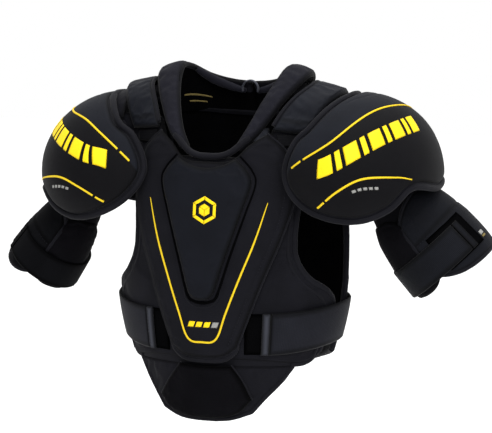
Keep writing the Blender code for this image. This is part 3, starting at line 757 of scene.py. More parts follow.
def slanted(left, low, width, tall, slant):
    """The corners of a block whose top is moved sideways by slant."""
    right, top = left + width, low + tall
    return [(left, low), (right, low), (right + slant, top), (left + slant, top)]


HEXAGON_MIDDLE = (0.004, -0.147)
HEXAGON_OUTER, HEXAGON_INNER, HEXAGON_CORE = 0.0205, 0.0150, 0.0095


def in_hexagon(radius, degrees):
    turn = math.radians(degrees + 30)
    return HEXAGON_MIDDLE[0] + radius * math.cos(turn), HEXAGON_MIDDLE[1] + radius * math.sin(turn)


def chest_marks():
    """A plain hexagon ring on the sternum pad and a short row of bars low on the plate."""
    level = STERNUM[1] + 1.3 * MM
    for k in range(6):
        outline = [in_hexagon(HEXAGON_OUTER, 60 * k), in_hexagon(HEXAGON_OUTER, 60 * k + 60),
                   in_hexagon(HEXAGON_INNER, 60 * k + 60), in_hexagon(HEXAGON_INNER, 60 * k)]
        mark(f"sternum_ring_{k + 1}", in_front, outline, level, YELLOW, "vest")
    for k in range(3):
        rim = [in_hexagon(HEXAGON_CORE, 120 * k + step) for step in (0, 60, 120)]
        mark(f"sternum_centre_{k + 1}", in_front, [HEXAGON_MIDDLE, *rim], level, YELLOW, "vest")
    for k in range(4):
        outline = slanted(-0.022 + 0.0122 * k, -0.3197, 0.0096, 0.0084, 0.0030)
        ink = SILVER if k == 3 else YELLOW
        mark(f"plate_bar_{k + 1}", in_front, outline, PLATE[1] + 1.1 * MM, ink, "vest")


# ---------------------------------------------------------------- collar and shoulders

COLLAR_INNER = (
    (0.034, -0.117, -0.058), (0.050, -0.104, -0.028), (0.066, -0.073, 0.014), (0.082, -0.024, 0.054),
    (0.080, 0.018, 0.055), (0.058, 0.050, 0.038), (0.030, 0.066, 0.029), (0.0008, 0.070, 0.026),
)
COLLAR_OUTER = (
    (0.048, -0.119, -0.061), (0.073, -0.106, -0.032), (0.098, -0.075, 0.012), (0.118, -0.028, 0.044),
    (0.116, 0.024, 0.045), (0.092, 0.072, 0.018), (0.052, 0.096, -0.006), (0.0008, 0.103, -0.014),
)


def raised(surface, outward):
    """A place function for a pad over a surface(u, v), its levels counted along outward(points)."""

    def place(u, v, level):
        step = 1e-3
        along = surface(np.clip(u + step, 0, 1), v) - surface(np.clip(u - step, 0, 1), v)
        across = surface(u, v + step) - surface(u, v - step)
        normal = unit(np.cross(across, along))
        points = surface(u, v)
        normal *= np.where((normal * outward(points)).sum(axis=1) < 0, -1, 1)[:, None]
        return points + normal * level[:, None]

    return place


def collar_surface(u, v):
    inner, outer = spline(COLLAR_INNER, u), spline(COLLAR_OUTER, u)
    return inner + v[:, None] * (outer - inner)


def collar_place(u, v, level):
    """The collar's outer face at level 0, arched across; negative levels lie inside it."""
    arch = 3.0 * MM * (1 - (2 * v - 1) ** 2) - 1.0 * MM
    return raised(collar_surface, body_normal)(u, v, level + arch)


def neck_facing_surface(u, v):
    """From the collar's inner edge (v = 1) down into the back panel's neck edge; u runs to the back middle."""
    inward = np.outer(u**8, (-0.0020, 0.0, 0.0))
    top = spline(COLLAR_INNER, 0.40 + 0.60 * u) + inward + np.array((0.0, 0.0, -0.004))
    low = behind(65 * (1 - u) - 1, np.full(len(u), -0.034), 6.0 * MM)
    return low + v[:, None] * (top - low)



def neck_outward(points):
    return points * np.array((1.0, 1.0, 0.0))


neck_facing_place = raised(neck_facing_surface, neck_outward)

YOKE_INNER = ((0.088, 16), (0.104, 40), (0.124, 70), (0.126, 90), (0.122, 110), (0.104, 140), (0.092, 164))
YOKE_OUTER = ((0.138, 16), (0.152, 40), (0.168, 70), (0.172, 90), (0.168, 110), (0.152, 140), (0.138, 164))


def yoke_place(u, v, level):
    a, b = spline(YOKE_INNER, v), spline(YOKE_OUTER, v)
    flat = a + u[:, None] * (b - a)
    return over_shoulder(flat[:, 0], flat[:, 1], level)


def shoulders(side):
    collar = Sheet(collar_place, (120, 34), side)
    pad("collar_cloth_" + side, collar, (-11 * MM, 0.0), COLLAR_CLOTH, "vest", ["collar_" + side], edge=0.0075,
        grooves=rows(collar, [0.80], -1.0 * MM, 1.6 * MM, 2.2 * MM), wrinkle=0.6 * MM, swell=0.002)
    sew("collar_stitches_" + side, collar, np.linspace(0.02, 0.98, 160), 0.80, -0.9 * MM, "vest")
    facing = Sheet(neck_facing_place, (60, 24), side)
    pad("neck_facing_" + side, facing, (-1.2 * MM, 1.6 * MM), LINING, "vest", edge=0.0015)
    if side == "right":
        for row, (wide, tall, middle) in enumerate(((0.34, 0.034, 0.42), (0.21, 0.028, 0.30))):

            def label(u, v, level, wide=wide, tall=tall, middle=middle):
                return neck_facing_place(0.40 + wide * (u - 0.5), middle + tall * (v - 0.5), level)

            pad(f"care_label_{row + 1}", Sheet(label, (14, 4), side, crowd=0.0), (-2.4 * MM, -1.4 * MM), LABEL,
                "vest", edge=0.4 * MM)
    yoke = Sheet(yoke_place, (46, 96), side)
    pad("yoke_cloth_" + side, yoke, YOKE, SHELL, "vest", ["yoke_" + side], edge=0.008, crown=0.8 * MM,
        grooves=rows(yoke, (0.07, 0.93), 20 * MM, 1.4 * MM, 3.0 * MM), wrinkle=0.5 * MM, swell=0.002)
    beside = yoke.line(-0.03, np.linspace(0.03, 0.97, 120), 20 * MM)
    binding("yoke_piping_" + side, beside, 3.0 * MM)

    def lining(u, v, level):
        return over_shoulder(0.092 + 0.058 * u, 58 + 64 * v, level)

    under = Sheet(lining, (30, 40), side)
    pad("shoulder_lining_cloth_" + side, under, PANEL, FOAM_CLOTH, "vest", ["shoulder_lining_" + side],
        edge=0.006, grooves=rows(under, (0.33, 0.67), PANEL[1], 2 * MM, 3 * MM))

    def tab(u, v, level):
        return over_shoulder(0.094 + 0.036 * u, 2 + 12 * v, level)

    strip = Sheet(tab, (26, 26), side)
    pad("yoke_tab_" + side, strip, (11.6 * MM, 15.0 * MM), BINDING, "vest", edge=0.002,
        grooves=rows(strip, (0.25, 0.5, 0.75), 15 * MM, 1.2 * MM, 1.6 * MM))


# ---------------------------------------------------------------- vest back

BACK_SIDE = (
    (74, -0.372), (78, -0.330), (80, -0.290), (78, -0.230), (70, -0.165), (58, -0.100), (60, -0.050), (68, -0.020),
)
BACK_NECK = ((0, -0.026), (20, -0.024), (40, -0.020), (68, -0.020))
BACK_HEM = ((0, -0.410), (25, -0.405), (50, -0.388), (74, -0.372))
SPINE_FOOT = ((0, -0.375), (10, -0.370), (16, -0.352))
SPINE_BROW = ((0, -0.062), (9, -0.064), (16, -0.080))
SPINE_SIDE = ((16, -0.352), (13, -0.270), (16, -0.180), (21, -0.120), (16, -0.080))
BLADE = (
    ((26, -0.225), (38, -0.232), (50, -0.215)), ((27, -0.082), (38, -0.070), (49, -0.085)),
    ((26, -0.225), (23, -0.170), (27, -0.082)), ((50, -0.215), (56, -0.160), (49, -0.085)),
)

LOOP_MIDDLE = (0.0, 0.055, 0.012)
NECK_ROLL = ((0.074, 0.022, 0.042), (0.056, 0.044, 0.026), (0.034, 0.058, 0.015), (0.010, 0.063, 0.008))


def behind(angle, z, level):
    return around(180 - angle, z, level)


def vest_back():
    outline = (BACK_HEM, BACK_NECK, BACK_SIDE)
    panel = flat_sheet(outline, behind, (110, 80))
    pad("back_panel_cloth", panel, PANEL, KNIT, "vest", ["back_panel"], edge=0.006,
        grooves=rows(panel, (0.14, 0.30, 0.46), PANEL[1], 1.5 * MM, 3.5 * MM), wrinkle=0.7 * MM, swell=0.002)
    lining = lining_sheet(outline, behind)
    pad("back_lining_cloth", lining, LINER, LINING, "vest", ["back_liner"], edge=0.0015,
        grooves=rows(lining, (0.25, 0.5, 0.75), LINER[0], 0.6 * MM, 4 * MM))
    for which, side in (("east", "left"), ("west", "right")):
        binding("back_side_binding_" + side, edge_line(panel, which, 7 * MM, 150), 4.4 * MM, pucker=0.06)
    binding("back_hem_binding", edge_line(panel, "bottom", 7 * MM, 160), 4.4 * MM, pucker=0.06)
    binding("back_neck_binding", edge_line(panel, "top", 7 * MM, 120, 0.18, 0.82), 4.0 * MM, pucker=0.06)
    spine = flat_sheet((SPINE_FOOT, SPINE_BROW, SPINE_SIDE), behind, (44, 110))
    pad("spine_cloth", spine, PLATE, SHELL, "vest", ["spine_pad"], edge=0.008, crown=1.0 * MM,
        grooves=rows(spine, (0.2, 0.4, 0.6, 0.8), PLATE[1], 3.0 * MM, 3.5 * MM), wrinkle=0.4 * MM, swell=0.002)
    for side in SIDES:
        blade = flat_sheet(BLADE, behind, (50, 60), side)
        ring = blade.line(*blade_ring(0.16), 20 * MM)
        pad("scapula_cloth_" + side, blade, (12.5 * MM, 21.5 * MM), KNIT, "vest", ["scapula_pad_" + side],
            edge=0.008, crown=1.0 * MM, grooves=[(ring, 1.6 * MM, 2.5 * MM)], wrinkle=0.5 * MM, swell=0.002)
    turns = np.radians(np.linspace(200, -20, 30))
    loop = np.column_stack((0.0125 * np.cos(turns), 0 * turns, 0.013 * np.sin(turns))) + LOOP_MIDDLE
    roll("hang_loop_webbing", loop, 3.8 * MM, WEBBING, "vest", ["hang_loop"], squash=0.3,
         normals=loop - np.array((0, 0.055, 0.006)), slot_name="grey_webbing")
    for side in SIDES:
        path = to_side(spline(NECK_ROLL, np.linspace(0, 1, 40)), side)
        size = 6.5 * MM * np.sin(np.linspace(0.35, math.pi - 0.35, 40)) ** 0.5
        soft = roll("neck_roll_" + side, path, size, COLLAR_CLOTH, "vest", sides=16, pucker=0.05)

    def label(u, v, level):
        return behind(-7 + 14 * u, -0.075 + 0.024 * v, level)

    pad("size_label", Sheet(label, (16, 10), crowd=0.0), (-1.6 * MM, -1.0 * MM), WEBBING, "vest",
        edge=0.6 * MM)


def blade_ring(inset):
    """A ring of shares (u, v) that runs inside a patch's edge."""
    turn = np.linspace(0, 2 * math.pi, 90)
    ways = np.cos(turn), np.sin(turn)
    return [0.5 + (0.5 - inset) * np.sign(way) * np.abs(way) ** 0.5 for way in ways]


# ---------------------------------------------------------------- waist straps and belly

STRAP_TOP, STRAP_BOTTOM = -0.299, -0.362
STRAP_FRONT, STRAP_SEAM = 32.0, 126.0


def waist_strap(side):
    strap_body = "waist_strap_" + side

    def ribbon(start, end, trim=0.0, counts=(90, 24)):
        """A length of the strap's route from angle to angle, trimmed above and below."""

        def place(u, v, level):
            angle = start + (end - start) * u
            rise = 0.010 * smooth((angle - 30) / 60)
            z = STRAP_BOTTOM + trim + (STRAP_TOP - STRAP_BOTTOM - 2 * trim) * v + rise
            return around(angle, z, level)

        return Sheet(place, counts, side, crowd=0.2)

    band = ribbon(STRAP_FRONT, STRAP_SEAM + 7)
    strap = pad("waist_band_" + side, band, (15.0 * MM, 17.5 * MM), ELASTIC, None, ["side_strap_" + side],
                edge=0.0012, grooves=rows(band, (0.05, 0.95), 17.5 * MM, 0.7 * MM, 1.2 * MM))
    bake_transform(strap)
    for number, angle in enumerate((STRAP_SEAM + 3.2, STRAP_SEAM + 6.2)):
        sew(f"waist_seam_stitches_{side}_{number + 1}", ribbon(angle, angle + 0.01), 0.5,
            np.linspace(0.04, 0.96, 60), 17.8 * MM, "vest")
    tab = ribbon(STRAP_FRONT - 4.2, STRAP_FRONT - 0.3, counts=(14, 60))
    pad("waist_tab_" + side, tab, (15.0 * MM, 18.5 * MM), WEBBING, strap_body, ["strap_tab_" + side],
        edge=0.0012)
    sew("waist_tab_stitches_" + side, tab, 0.8, np.linspace(0.03, 0.97, 60), 18.8 * MM, strap_body)
    pile = ribbon(19.5, 52, trim=1 * MM, counts=(46, 30))
    pad("waist_pile_" + side, pile, (12.3 * MM, 13.5 * MM), PILE, "vest", ["strap_patch_" + side], edge=0.001)


BELLY = (
    ((0, -0.461), (14, -0.459), (27, -0.449)), ((0, -0.378), (25, -0.378), (50, -0.379)),
    ((27, -0.449), (35, -0.426), (43, -0.404), (50, -0.379)),
)
BELLY_PAD = (
    ((0, -0.4585), (0.030, -0.4570), (0.054, -0.4490), (0.072, -0.4300)),
    ((0, -0.380), (0.022, -0.379), (0.040, -0.378)), ((0.072, -0.4300), (0.057, -0.402), (0.040, -0.378)),
)
BELLY_TURN, BELLY_SHIFT = 2.4, 0.005  # how far the flap's foot leans, in degrees and in metres


def belly():
    def lean(z):
        return smooth((-0.380 - z) / 0.06)

    def turned(angle, z, level):
        return around(angle - BELLY_TURN * lean(z), z, level)

    def turned_front(x, z, level):
        return in_front(x - BELLY_SHIFT * lean(z), z, level)

    panel = flat_sheet(BELLY, turned, (100, 50))
    pad("belly_cloth", panel, PANEL, KNIT, "belly", ["belly_panel"], edge=0.006, wrinkle=0.7 * MM, swell=0.0015)
    binding("belly_edge_binding", open_edge(panel, 7 * MM, 70, 90), 4.4 * MM, "belly", pucker=0.06)
    front = flat_sheet(BELLY_PAD, turned_front, (80, 56))
    pad("belly_pad_cloth", front, (12.5 * MM, 23.5 * MM), BLACK_KNIT, "belly", ["belly_pad"], edge=0.010,
        crown=1.0 * MM, wrinkle=0.8 * MM, swell=0.002)
    for side, u in (("right", -0.025), ("left", 1.025)):
        line = front.line(u, np.linspace(0.0, 1.0, 60), 14.5 * MM)
        binding("belly_piping_" + side, line, 1.8 * MM, "belly")

    def bridge(u, v, level):
        return around(-49.5 + 99 * u, -0.390 + 0.034 * v, level)

    gusset = pad("belly_gusset", Sheet(bridge, (70, 16)), (7.0 * MM, 9.0 * MM), BINDING, None, edge=0.001)
    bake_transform(gusset)


# ---------------------------------------------------------------- shoulder caps

CAP_CENTRE = np.array((0.195, -0.010, -0.100))
CAP_RADII = np.array((0.122, 0.150, 0.118))
CAP_HINGE = (0.128, -0.002)
CAP_DROP = {"left": 0.0, "right": 9.0}
CAP_MIDDLE = np.array((0.50, -0.10, 0.80))
CAP_RIM = (
    (-0.012, -0.030, 0.115), (-0.040, -0.095, 0.077), (-0.066, -0.106, 0.052), (-0.080, -0.118, 0.000),
    (-0.042, -0.132, -0.040), (0.031, -0.126, -0.057), (0.078, -0.106, -0.041), (0.104, -0.075, -0.010),
    (0.118, 0.000, -0.018), (0.104, 0.080, -0.014), (0.075, 0.112, -0.045), (0.028, 0.126, -0.060),
    (-0.042, 0.130, -0.042), (-0.074, 0.118, 0.000), (-0.062, 0.104, 0.050), (-0.036, 0.085, 0.085),
    (-0.012, 0.030, 0.117),
)
CAP_UPPER_FRONT = {
    "left": ((-0.062, -0.127, 0.018), (-0.018, -0.136, 0.047), (0.009, -0.122, 0.068)),
    "right": ((-0.062, -0.127, 0.018), (-0.022, -0.124, 0.064), (0.005, -0.105, 0.085)),
}
CAP_UPPER_REST = ((0.043, -0.064, 0.099), (0.062, 0.000, 0.101), (0.060, 0.070, 0.086), (0.040, 0.110, 0.062))
CAP_LOWER = (
    (-0.018, -0.141, -0.036), (0.014, -0.148, -0.010), (0.048, -0.138, 0.008), (0.088, -0.103, 0.008),
    (0.103, -0.079, 0.003),
)
CAP_SEAM = ((0.000, -0.060, 0.106), (0.022, 0.0, 0.115), (0.004, 0.075, 0.095))
CAP_ROUND, CAP_RINGS = 168, 44


def hung(points, side):
    """Cap points, turned down about the cap's hinge line as far as that side's cap hangs."""
    turn = math.radians(CAP_DROP[side])
    x, z = points[:, 0] - CAP_HINGE[0], points[:, 2] - CAP_HINGE[1]
    across = CAP_HINGE[0] + x * math.cos(turn) + z * math.sin(turn)
    up = CAP_HINGE[1] - x * math.sin(turn) + z * math.cos(turn)
    return np.column_stack((across, points[:, 1], up))


def cap_to_side(points, side):
    return to_side(hung(points, side), side)


def cap_edge(turn, margin):
    """Directions from the cap's centre to a line that runs a margin, in radians, inside its rim."""
    rim = np.array(CAP_RIM) / CAP_RADII
    lines = [spline(rim, (turn + step) % 1.0, closed=True) for step in (-1e-3, 0, 1e-3)]
    behind_it, here, ahead = (unit(way) for way in lines)
    inward = unit(np.cross(here, ahead - behind_it))
    return here * math.cos(margin) + inward * math.sin(margin)


def cap_way(turn, share, margin):
    """Directions a share of the way from the cap's middle to its edge."""
    middle = np.tile(CAP_MIDDLE / np.linalg.norm(CAP_MIDDLE), (len(turn), 1))
    edge = cap_edge(turn, margin)
    angle = np.arccos(np.clip((middle * edge).sum(axis=1), -1, 1))
    part = np.sin((1 - share) * angle)[:, None] * middle + np.sin(share * angle)[:, None] * edge
    return part / np.sin(angle)[:, None]


def on_cap(route, at, height):
    """Points along a route over the cap, at a height off its cover, and the way out there."""
    way = unit(spline(route, at) / CAP_RADII)
    return CAP_CENTRE + way * (CAP_RADII + height), unit(way / CAP_RADII)


def dome(name, side, margin, depth_of, material, nodes, rounds=CAP_ROUND, rings=CAP_RINGS):
    """A padded layer of the cap: depth_of(points, gap) gives the depths of its outer and inner face."""
    turn = np.tile(np.arange(rounds) / rounds, rings)
    share = np.repeat(1 - (1 - np.linspace(1 / rings, 1, rings)) ** 1.25, rounds)
    turn, share = np.concatenate(([0.0], turn)), np.concatenate(([1e-4], share))
    way = cap_way(turn, share, margin)
    base = CAP_CENTRE + way * CAP_RADII
    gap = away_from(base, base[-rounds:], closed=True)
    layers = [CAP_CENTRE + way * (CAP_RADII - depth[:, None]) for depth in depth_of(base, gap)]
    index = 1 + np.arange(rings * rounds).reshape(rings, rounds)
    faces = grid_faces(index[:-1], index[1:])
    faces += [(0, b, a) for a, b in zip(index[0], np.roll(index[0], -1))]
    faces, used = closed_under(faces, len(base), index[-1])
    points = cap_to_side(np.vstack(layers)[used], side)
    fore, round_it = np.arcsin(np.clip(way[:, 1], -1, 1)), np.arctan2(way[:, 2], way[:, 0])
    uv = np.column_stack((fore * 0.15, round_it * 0.12))
    obj = make_mesh(name, points, faces, np.vstack((uv, uv))[used], np.tile(gap, 2)[used], material,
                    "cap_" + side)
    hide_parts(*nodes)
    return obj, np.vstack((base, base))[used]


def side_of_line(points, line, outward):
    """Distance to a line, positive on its inner (upper) side."""
    away = away_from(points, line)
    nearest = np.argmin(((points[:, None] - line[None]) ** 2).sum(axis=2), axis=1)
    toward = np.cross(np.gradient(line, axis=0)[nearest], outward)
    return -away * np.sign(((points - line[nearest]) * toward).sum(axis=1))


def cap_material(side):
    """The cap's cloth: slate above the upper piping and black below it."""
    made = woven("cap_cloth_" + side, SLATE, 0.70, 0.0010, 0.0001, mottle=0.15)
    tree = made.node_tree
    tint = tree.nodes["Principled BSDF"].inputs["Base Color"].links[0].from_node
    band = node(tree, "ShaderNodeAttribute", attribute_name="band").outputs["Fac"]
    mix = node(tree, "ShaderNodeMix", data_type="RGBA")
    link(tree, combine(tree, "GREATER_THAN", band, 0.0), mix.inputs["Factor"])
    mix.inputs[6].default_value = (*BLACK, 1.0)
    mix.inputs[7].default_value = (*SLATE, 1.0)
    link(tree, mix.outputs[2], tint.inputs[0])
    return made


def cap_ring(name, side, margin, depth, radius, **values):
    """A closed binding round the cap, a margin inside its rim."""
    way = cap_edge(np.linspace(0, 1, 240, endpoint=False), margin)
    ring = CAP_CENTRE + way * (CAP_RADII - depth)
    points, normals = cap_line(ring, unit(way / CAP_RADII), side)
    roll(name, points, radius, BINDING, "cap_" + side, closed=True, normals=normals, **values)


def cap_line(points, out, side):
    """Cap points on their side, and the way out there."""
    here = cap_to_side(points, side)
    return here, cap_to_side(points + out * 0.01, side) - here


def shoulder_cap(side):
    body = "cap_" + side
    upper_route = CAP_UPPER_FRONT[side] + CAP_UPPER_REST
    upper, _ = on_cap(upper_route, np.linspace(0, 1, 160), 0.0)
    lower, _ = on_cap(CAP_LOWER, np.linspace(0, 1, 120), 0.0)
    seam, seam_out = on_cap(CAP_SEAM, EVEN, 0.0)

    def cover(base, gap):
        share, rise = rounded(gap, 0.007)
        depth = 3.6 * MM * (1 - rise) - 0.6 * MM * share
        for line, deep, wide in ((upper, 0.9, 2.5), (lower, 0.8, 2.5), (seam, 0.8, 2.0)):
            depth += deep * MM * np.exp(-((away_from(base, line) / (wide * MM)) ** 2)) * share
        depth += 0.35 * MM * ripple(base, 0.040, 3.0) * share
        depth += 0.25 * MM * ripple(base, 0.010) * np.exp(-gap / 0.010) * share
        return depth, 3.6 * MM + 1.4 * MM * rise

    def foam(base, gap):
        share, rise = rounded(gap, 0.005)
        thick = 3.5 * MM * rise
        return 14.0 * MM - thick, 14.0 * MM + thick + 0.4 * MM * ripple(base, 0.02) * share

    obj, base = dome("cap_cloth_" + side, side, 0.058, cover, cap_material(side), ["cap_cover_" + side])
    signed = side_of_line(base, upper, unit((base - CAP_CENTRE) / CAP_RADII**2))
    obj.data.attributes.new("band", "FLOAT", "POINT").data.foreach_set("value", signed.astype(np.float32))
    dome("cap_foam_cloth_" + side, side, 0.085, foam, FOAM_CLOTH, ["cap_foam_" + side],
         rounds=96, rings=24)
    cap_ring("cap_rim_roll_" + side, side, 0.0, 2.5 * MM, 5.0 * MM, nodes=["cap_rim_" + side], sides=14,
             pucker=0.05, slot_name="black_knit")
    cap_ring("cap_rim_web_" + side, side, 0.050, 4.2 * MM, 3.2 * MM, sides=8, squash=0.5)

    routes = (("upper", upper_route, 0.055, 0.070), ("lower", CAP_LOWER, 0.088, 0.112))
    for name, route, dash_end, line_start in routes:
        cords = (
            ("dash", np.linspace(0.0, dash_end, 20), []),
            ("line", np.linspace(line_start, 1.0, 150), [f"cap_piping_{name}_{side}"]),
        )
        for part, at, nodes in cords:
            points, normals = cap_line(*on_cap(route, at, 0.5 * MM), side)
            taper = np.clip((at - 0.55) / 0.45, 0, 1)
            roll(f"cap_{name}_{part}_{side}", points, 1.6 * MM - 0.7 * MM * taper, YELLOW_CORD, body, nodes,
                 squash=0.7, normals=normals, slot_name="yellow_piping")
    points, normals = cap_line(seam, seam_out, side)
    stitches("cap_seam_stitches_" + side, points, unit(normals), body)
    cap_marks(side, body)
    cap_web(side)


def cap_web(side):
    """Soft cloth from under the yoke's outer edge to the inside of the cap."""

    def place(u, v, level):
        return over_shoulder(0.158 + 0.040 * v, 28 + 124 * u, level + 15.5 * MM - 7.0 * MM * v)

    web = pad("cap_web_" + side, Sheet(place, (80, 24), side), (0.0, 2.5 * MM), BINDING, None, edge=0.001,
              wrinkle=1.5 * MM)
    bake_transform(web)


BLOCK_ROUTE = (
    (-0.056, -0.130, -0.008), (-0.028, -0.142, 0.010), (0.000, -0.146, 0.022), (0.033, -0.133, 0.042),
    (0.062, -0.102, 0.060), (0.082, -0.058, 0.070), (0.090, -0.010, 0.072), (0.088, 0.040, 0.066),
)
BLOCK_LIFT = {"left": 0.005, "right": 0.018}
BLOCK_START = {"left": 0.052, "right": 0.034}
BLOCK_WIDTHS = (0.024, 0.009, 0.024, 0.009, 0.024, 0.009, 0.024, 0.009, 0.020)
BLOCK_TALL, BLOCK_SPACE = 0.0270, 0.0055
DASH_ROUTE = ((0.030, -0.146, -0.012), (0.050, -0.139, -0.006), (0.078, -0.117, -0.006))


def strip(path, side):
    """A place function over the cap: a runs along the path, b across it towards the upper piping."""
    length = run_along(spline(path, np.linspace(0, 1, 200)))[-1]

    def place(a, b, level):
        share = a / length
        here = spline(path, np.clip(share, 0, 1))
        ahead = spline(path, np.clip(share + 0.005, 0, 1)) - spline(path, np.clip(share - 0.005, 0, 1))
        up = unit(np.cross(unit(ahead), unit(here / CAP_RADII**2)))
        way = unit((here + up * b[:, None]) / CAP_RADII)
        return hung(CAP_CENTRE + way * (CAP_RADII + level[:, None]), side)

    return place


def cap_marks(side, body):
    """A plain row of slanted blocks on the black band, and a short row of dashes under the lower piping."""
    place = strip([(x, y, z + BLOCK_LIFT[side]) for x, y, z in BLOCK_ROUTE], side)
    start = BLOCK_START[side]
    for k, width in enumerate(BLOCK_WIDTHS):
        outline = slanted(start, -BLOCK_TALL / 2, width, BLOCK_TALL, -0.0085)
        mark(f"cap_block_{side}_{k + 1}", place, outline, 0.7 * MM, YELLOW, body, (10, 12), side)
        start += width + BLOCK_SPACE
    place = strip(DASH_ROUTE, side)
    for k in range(5):
        outline = slanted(0.004 + 0.0085 * k, -0.0022, 0.0062, 0.0044, 0.0010)
        mark(f"cap_dash_{side}_{k + 1}", place, outline, 0.7 * MM, SILVER, body, (5, 4), side)


# ---------------------------------------------------------------- bicep guards

ARM_ROOT = {"left": (0.199, 0.0, -0.089), "right": (0.2300, 0.0, -0.0990)}
ARM_BACKWARD = 0.15
ARM_SPLAY = {"left": 42.0, "right": 38.0}
ARM_BULGE = {"left": 0.10, "right": 0.0}
ARM_REACH = {
    "left": np.array(((0.070, 0.046), (0.105, 0.056), (0.150, 0.064), (0.208, 0.067))),
    "right": np.array(((0.070, 0.036), (0.105, 0.044), (0.150, 0.052), (0.208, 0.056))),
}
GUARD_TOP, GUARD_END = 0.077, 0.212
STRAP_REACH = (0.148, 0.196)
PILE_REACH = {"left": (0.140, 0.198), "right": (0.151, 0.193)}
TAGS = ((SILVER, 0.184, 0.1905), (LABEL, 0.1915, 0.1950))


def arm_root(side):
    return hung(np.array((ARM_ROOT[side],)), side)


def arm_along(side):
    """The way down the arm, on the left half."""
    splay = math.radians(ARM_SPLAY[side])
    along = np.array((math.sin(splay), ARM_BACKWARD, -math.cos(splay)))
    return along / np.linalg.norm(along)


def around_arm(side, angle, reach, extra):
    """A point round the arm: angle 0 faces outwards, 90 forwards; reach runs down the arm."""
    splay = math.radians(ARM_SPLAY[side])
    along = arm_along(side)
    out = np.array((math.cos(splay), 0.0, math.sin(splay)))
    out -= (out @ along) * along
    out /= np.linalg.norm(out)
    front = np.cross(along, out)
    front *= -1 if front[1] > 0 else 1
    turn = np.radians(angle)
    bulge = 1 + ARM_BULGE[side] * (1 - np.cos(turn)) / 2
    radius = np.interp(reach, ARM_REACH[side][:, 0], ARM_REACH[side][:, 1]) * bulge + extra
    across = np.cos(turn)[:, None] * out + np.sin(turn)[:, None] * front
    return arm_root(side) + reach[:, None] * along + radius[:, None] * across


def arm_sheet(side, angles, reaches, counts, trim=0.0, droop=0.0):
    """A sheet round the arm; trim draws its corners in and droop bends its ends towards the arm."""

    def place(u, v, level):
        angle = angles[0] + (angles[1] - angles[0]) * u
        corner = trim * (2 * u - 1) ** 4
        reach = reaches[0] + corner + (reaches[1] - reaches[0] - 2 * corner) * v
        return around_arm(side, angle, reach, level - droop * (2 * v - 1) ** 4)

    return Sheet(place, counts, side, crowd=0.35)


def arm_ring(sheet, level):
    """The edge of a sheet as a ring of points."""
    t = np.linspace(0, 1, 60)
    one, none = np.ones(60), np.zeros(60)
    return sheet.line(np.concatenate((t, one, t[::-1], none)), np.concatenate((none, t, one, t[::-1])), level)


def arm_normals(side, points):
    root, along = to_side(arm_root(side)[0], side), to_side(arm_along(side), side)
    return unit(points - root - np.outer((points - root) @ along, along))


def bicep_guard(side):
    body, flap = "bicep_" + side, "bicep_flap_" + side
    cloth = CUFF if side == "left" else GUARD_CLOTH
    cover = arm_sheet(side, (-98, 98), (GUARD_TOP, GUARD_END + 0.003), (90, 56), 0.024, 0.004)
    pad("bicep_cloth_" + side, cover, (-1.8 * MM, 2.4 * MM), cloth, body, ["bicep_cover_" + side], edge=0.006,
        crown=1.2 * MM, grooves=rows(cover, [0.40], 2.0 * MM, 1.5 * MM, 2.5 * MM), wrinkle=0.6 * MM,
        swell=0.0005)
    sew("bicep_stitches_" + side, cover, np.linspace(0.02, 0.98, 120), 0.43, 2.9 * MM, body)
    lining = arm_sheet(side, (-96, 96), (GUARD_TOP, GUARD_END), (60, 36), 0.024, 0.003)
    pad("bicep_lining_" + side, lining, (-10.8 * MM, -5.8 * MM), FOAM_CLOTH, body, ["bicep_foam_" + side],
        edge=0.004, grooves=rows(lining, (0.33, 0.67), -6 * MM, 1.2 * MM, 3 * MM))
    ring = arm_ring(cover, -1.0 * MM)
    binding("bicep_edge_binding_" + side, ring, 3.6 * MM, body, 0.06, closed=True,
            normals=arm_normals(side, ring))
    if side == "left":
        for row, (material, low, high) in enumerate(TAGS):
            tag = arm_sheet(side, (8, 17), (low, high), (8, 6))
            pad(f"guard_tag_{row + 1}", tag, (2.6 * MM, 4.2 * MM), material, body, edge=0.4 * MM)
    sleeve = arm_sheet(side, (-100, 200), (0.030, 0.094), (90, 30))
    gusset = pad("bicep_gusset_" + side, sleeve, (-6.5 * MM, -4.5 * MM), BLACK_KNIT, None, edge=0.001,
                 wrinkle=1.2 * MM)
    start, end = (
        to_side(around_arm(side, np.array((0.0, 180.0)), np.full(2, reach), -5 * MM), side).mean(axis=0)
        for reach in (0.045, 0.085)
    )
    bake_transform(gusset)
    wing = arm_sheet(side, (92, 198), (0.080, 0.206), (60, 50), 0.020, 0.004)
    pad("bicep_wing_cloth_" + side, wing, (-7 * MM, 1.0 * MM), BLACK_KNIT, body, ["bicep_wing_" + side],
        edge=0.006, crown=2.5 * MM, wrinkle=0.9 * MM, swell=0.0015)
    pile = arm_sheet(side, (20, 80), PILE_REACH[side], (30, 26))
    pad("bicep_pile_" + side, pile, (3.2 * MM, 4.8 * MM), PILE, body, ["bicep_patch_" + side], edge=0.001)
    sewn = arm_sheet(side, (182, 262), STRAP_REACH, (50, 20))
    pad("bicep_band_sewn_" + side, sewn, (3.6 * MM, 5.4 * MM), cloth, body, ["bicep_strap_sewn_" + side],
        edge=0.0011)
    free = arm_sheet(side, (44, 181.5), STRAP_REACH, (80, 20))
    pad("bicep_band_" + side, free, (4.6 * MM, 6.4 * MM), cloth, flap, ["bicep_strap_" + side], edge=0.0011,
        grooves=rows(free, (0.06, 0.94), 6.4 * MM, 0.6 * MM, 1.2 * MM))
    tab = arm_sheet(side, (34, 43.4), STRAP_REACH, (12, 30))
    pad("bicep_pull_" + side, tab, (4.6 * MM, 7.0 * MM), cloth, flap, ["bicep_tab_" + side], edge=0.0011)


# ---------------------------------------------------------------- the stage

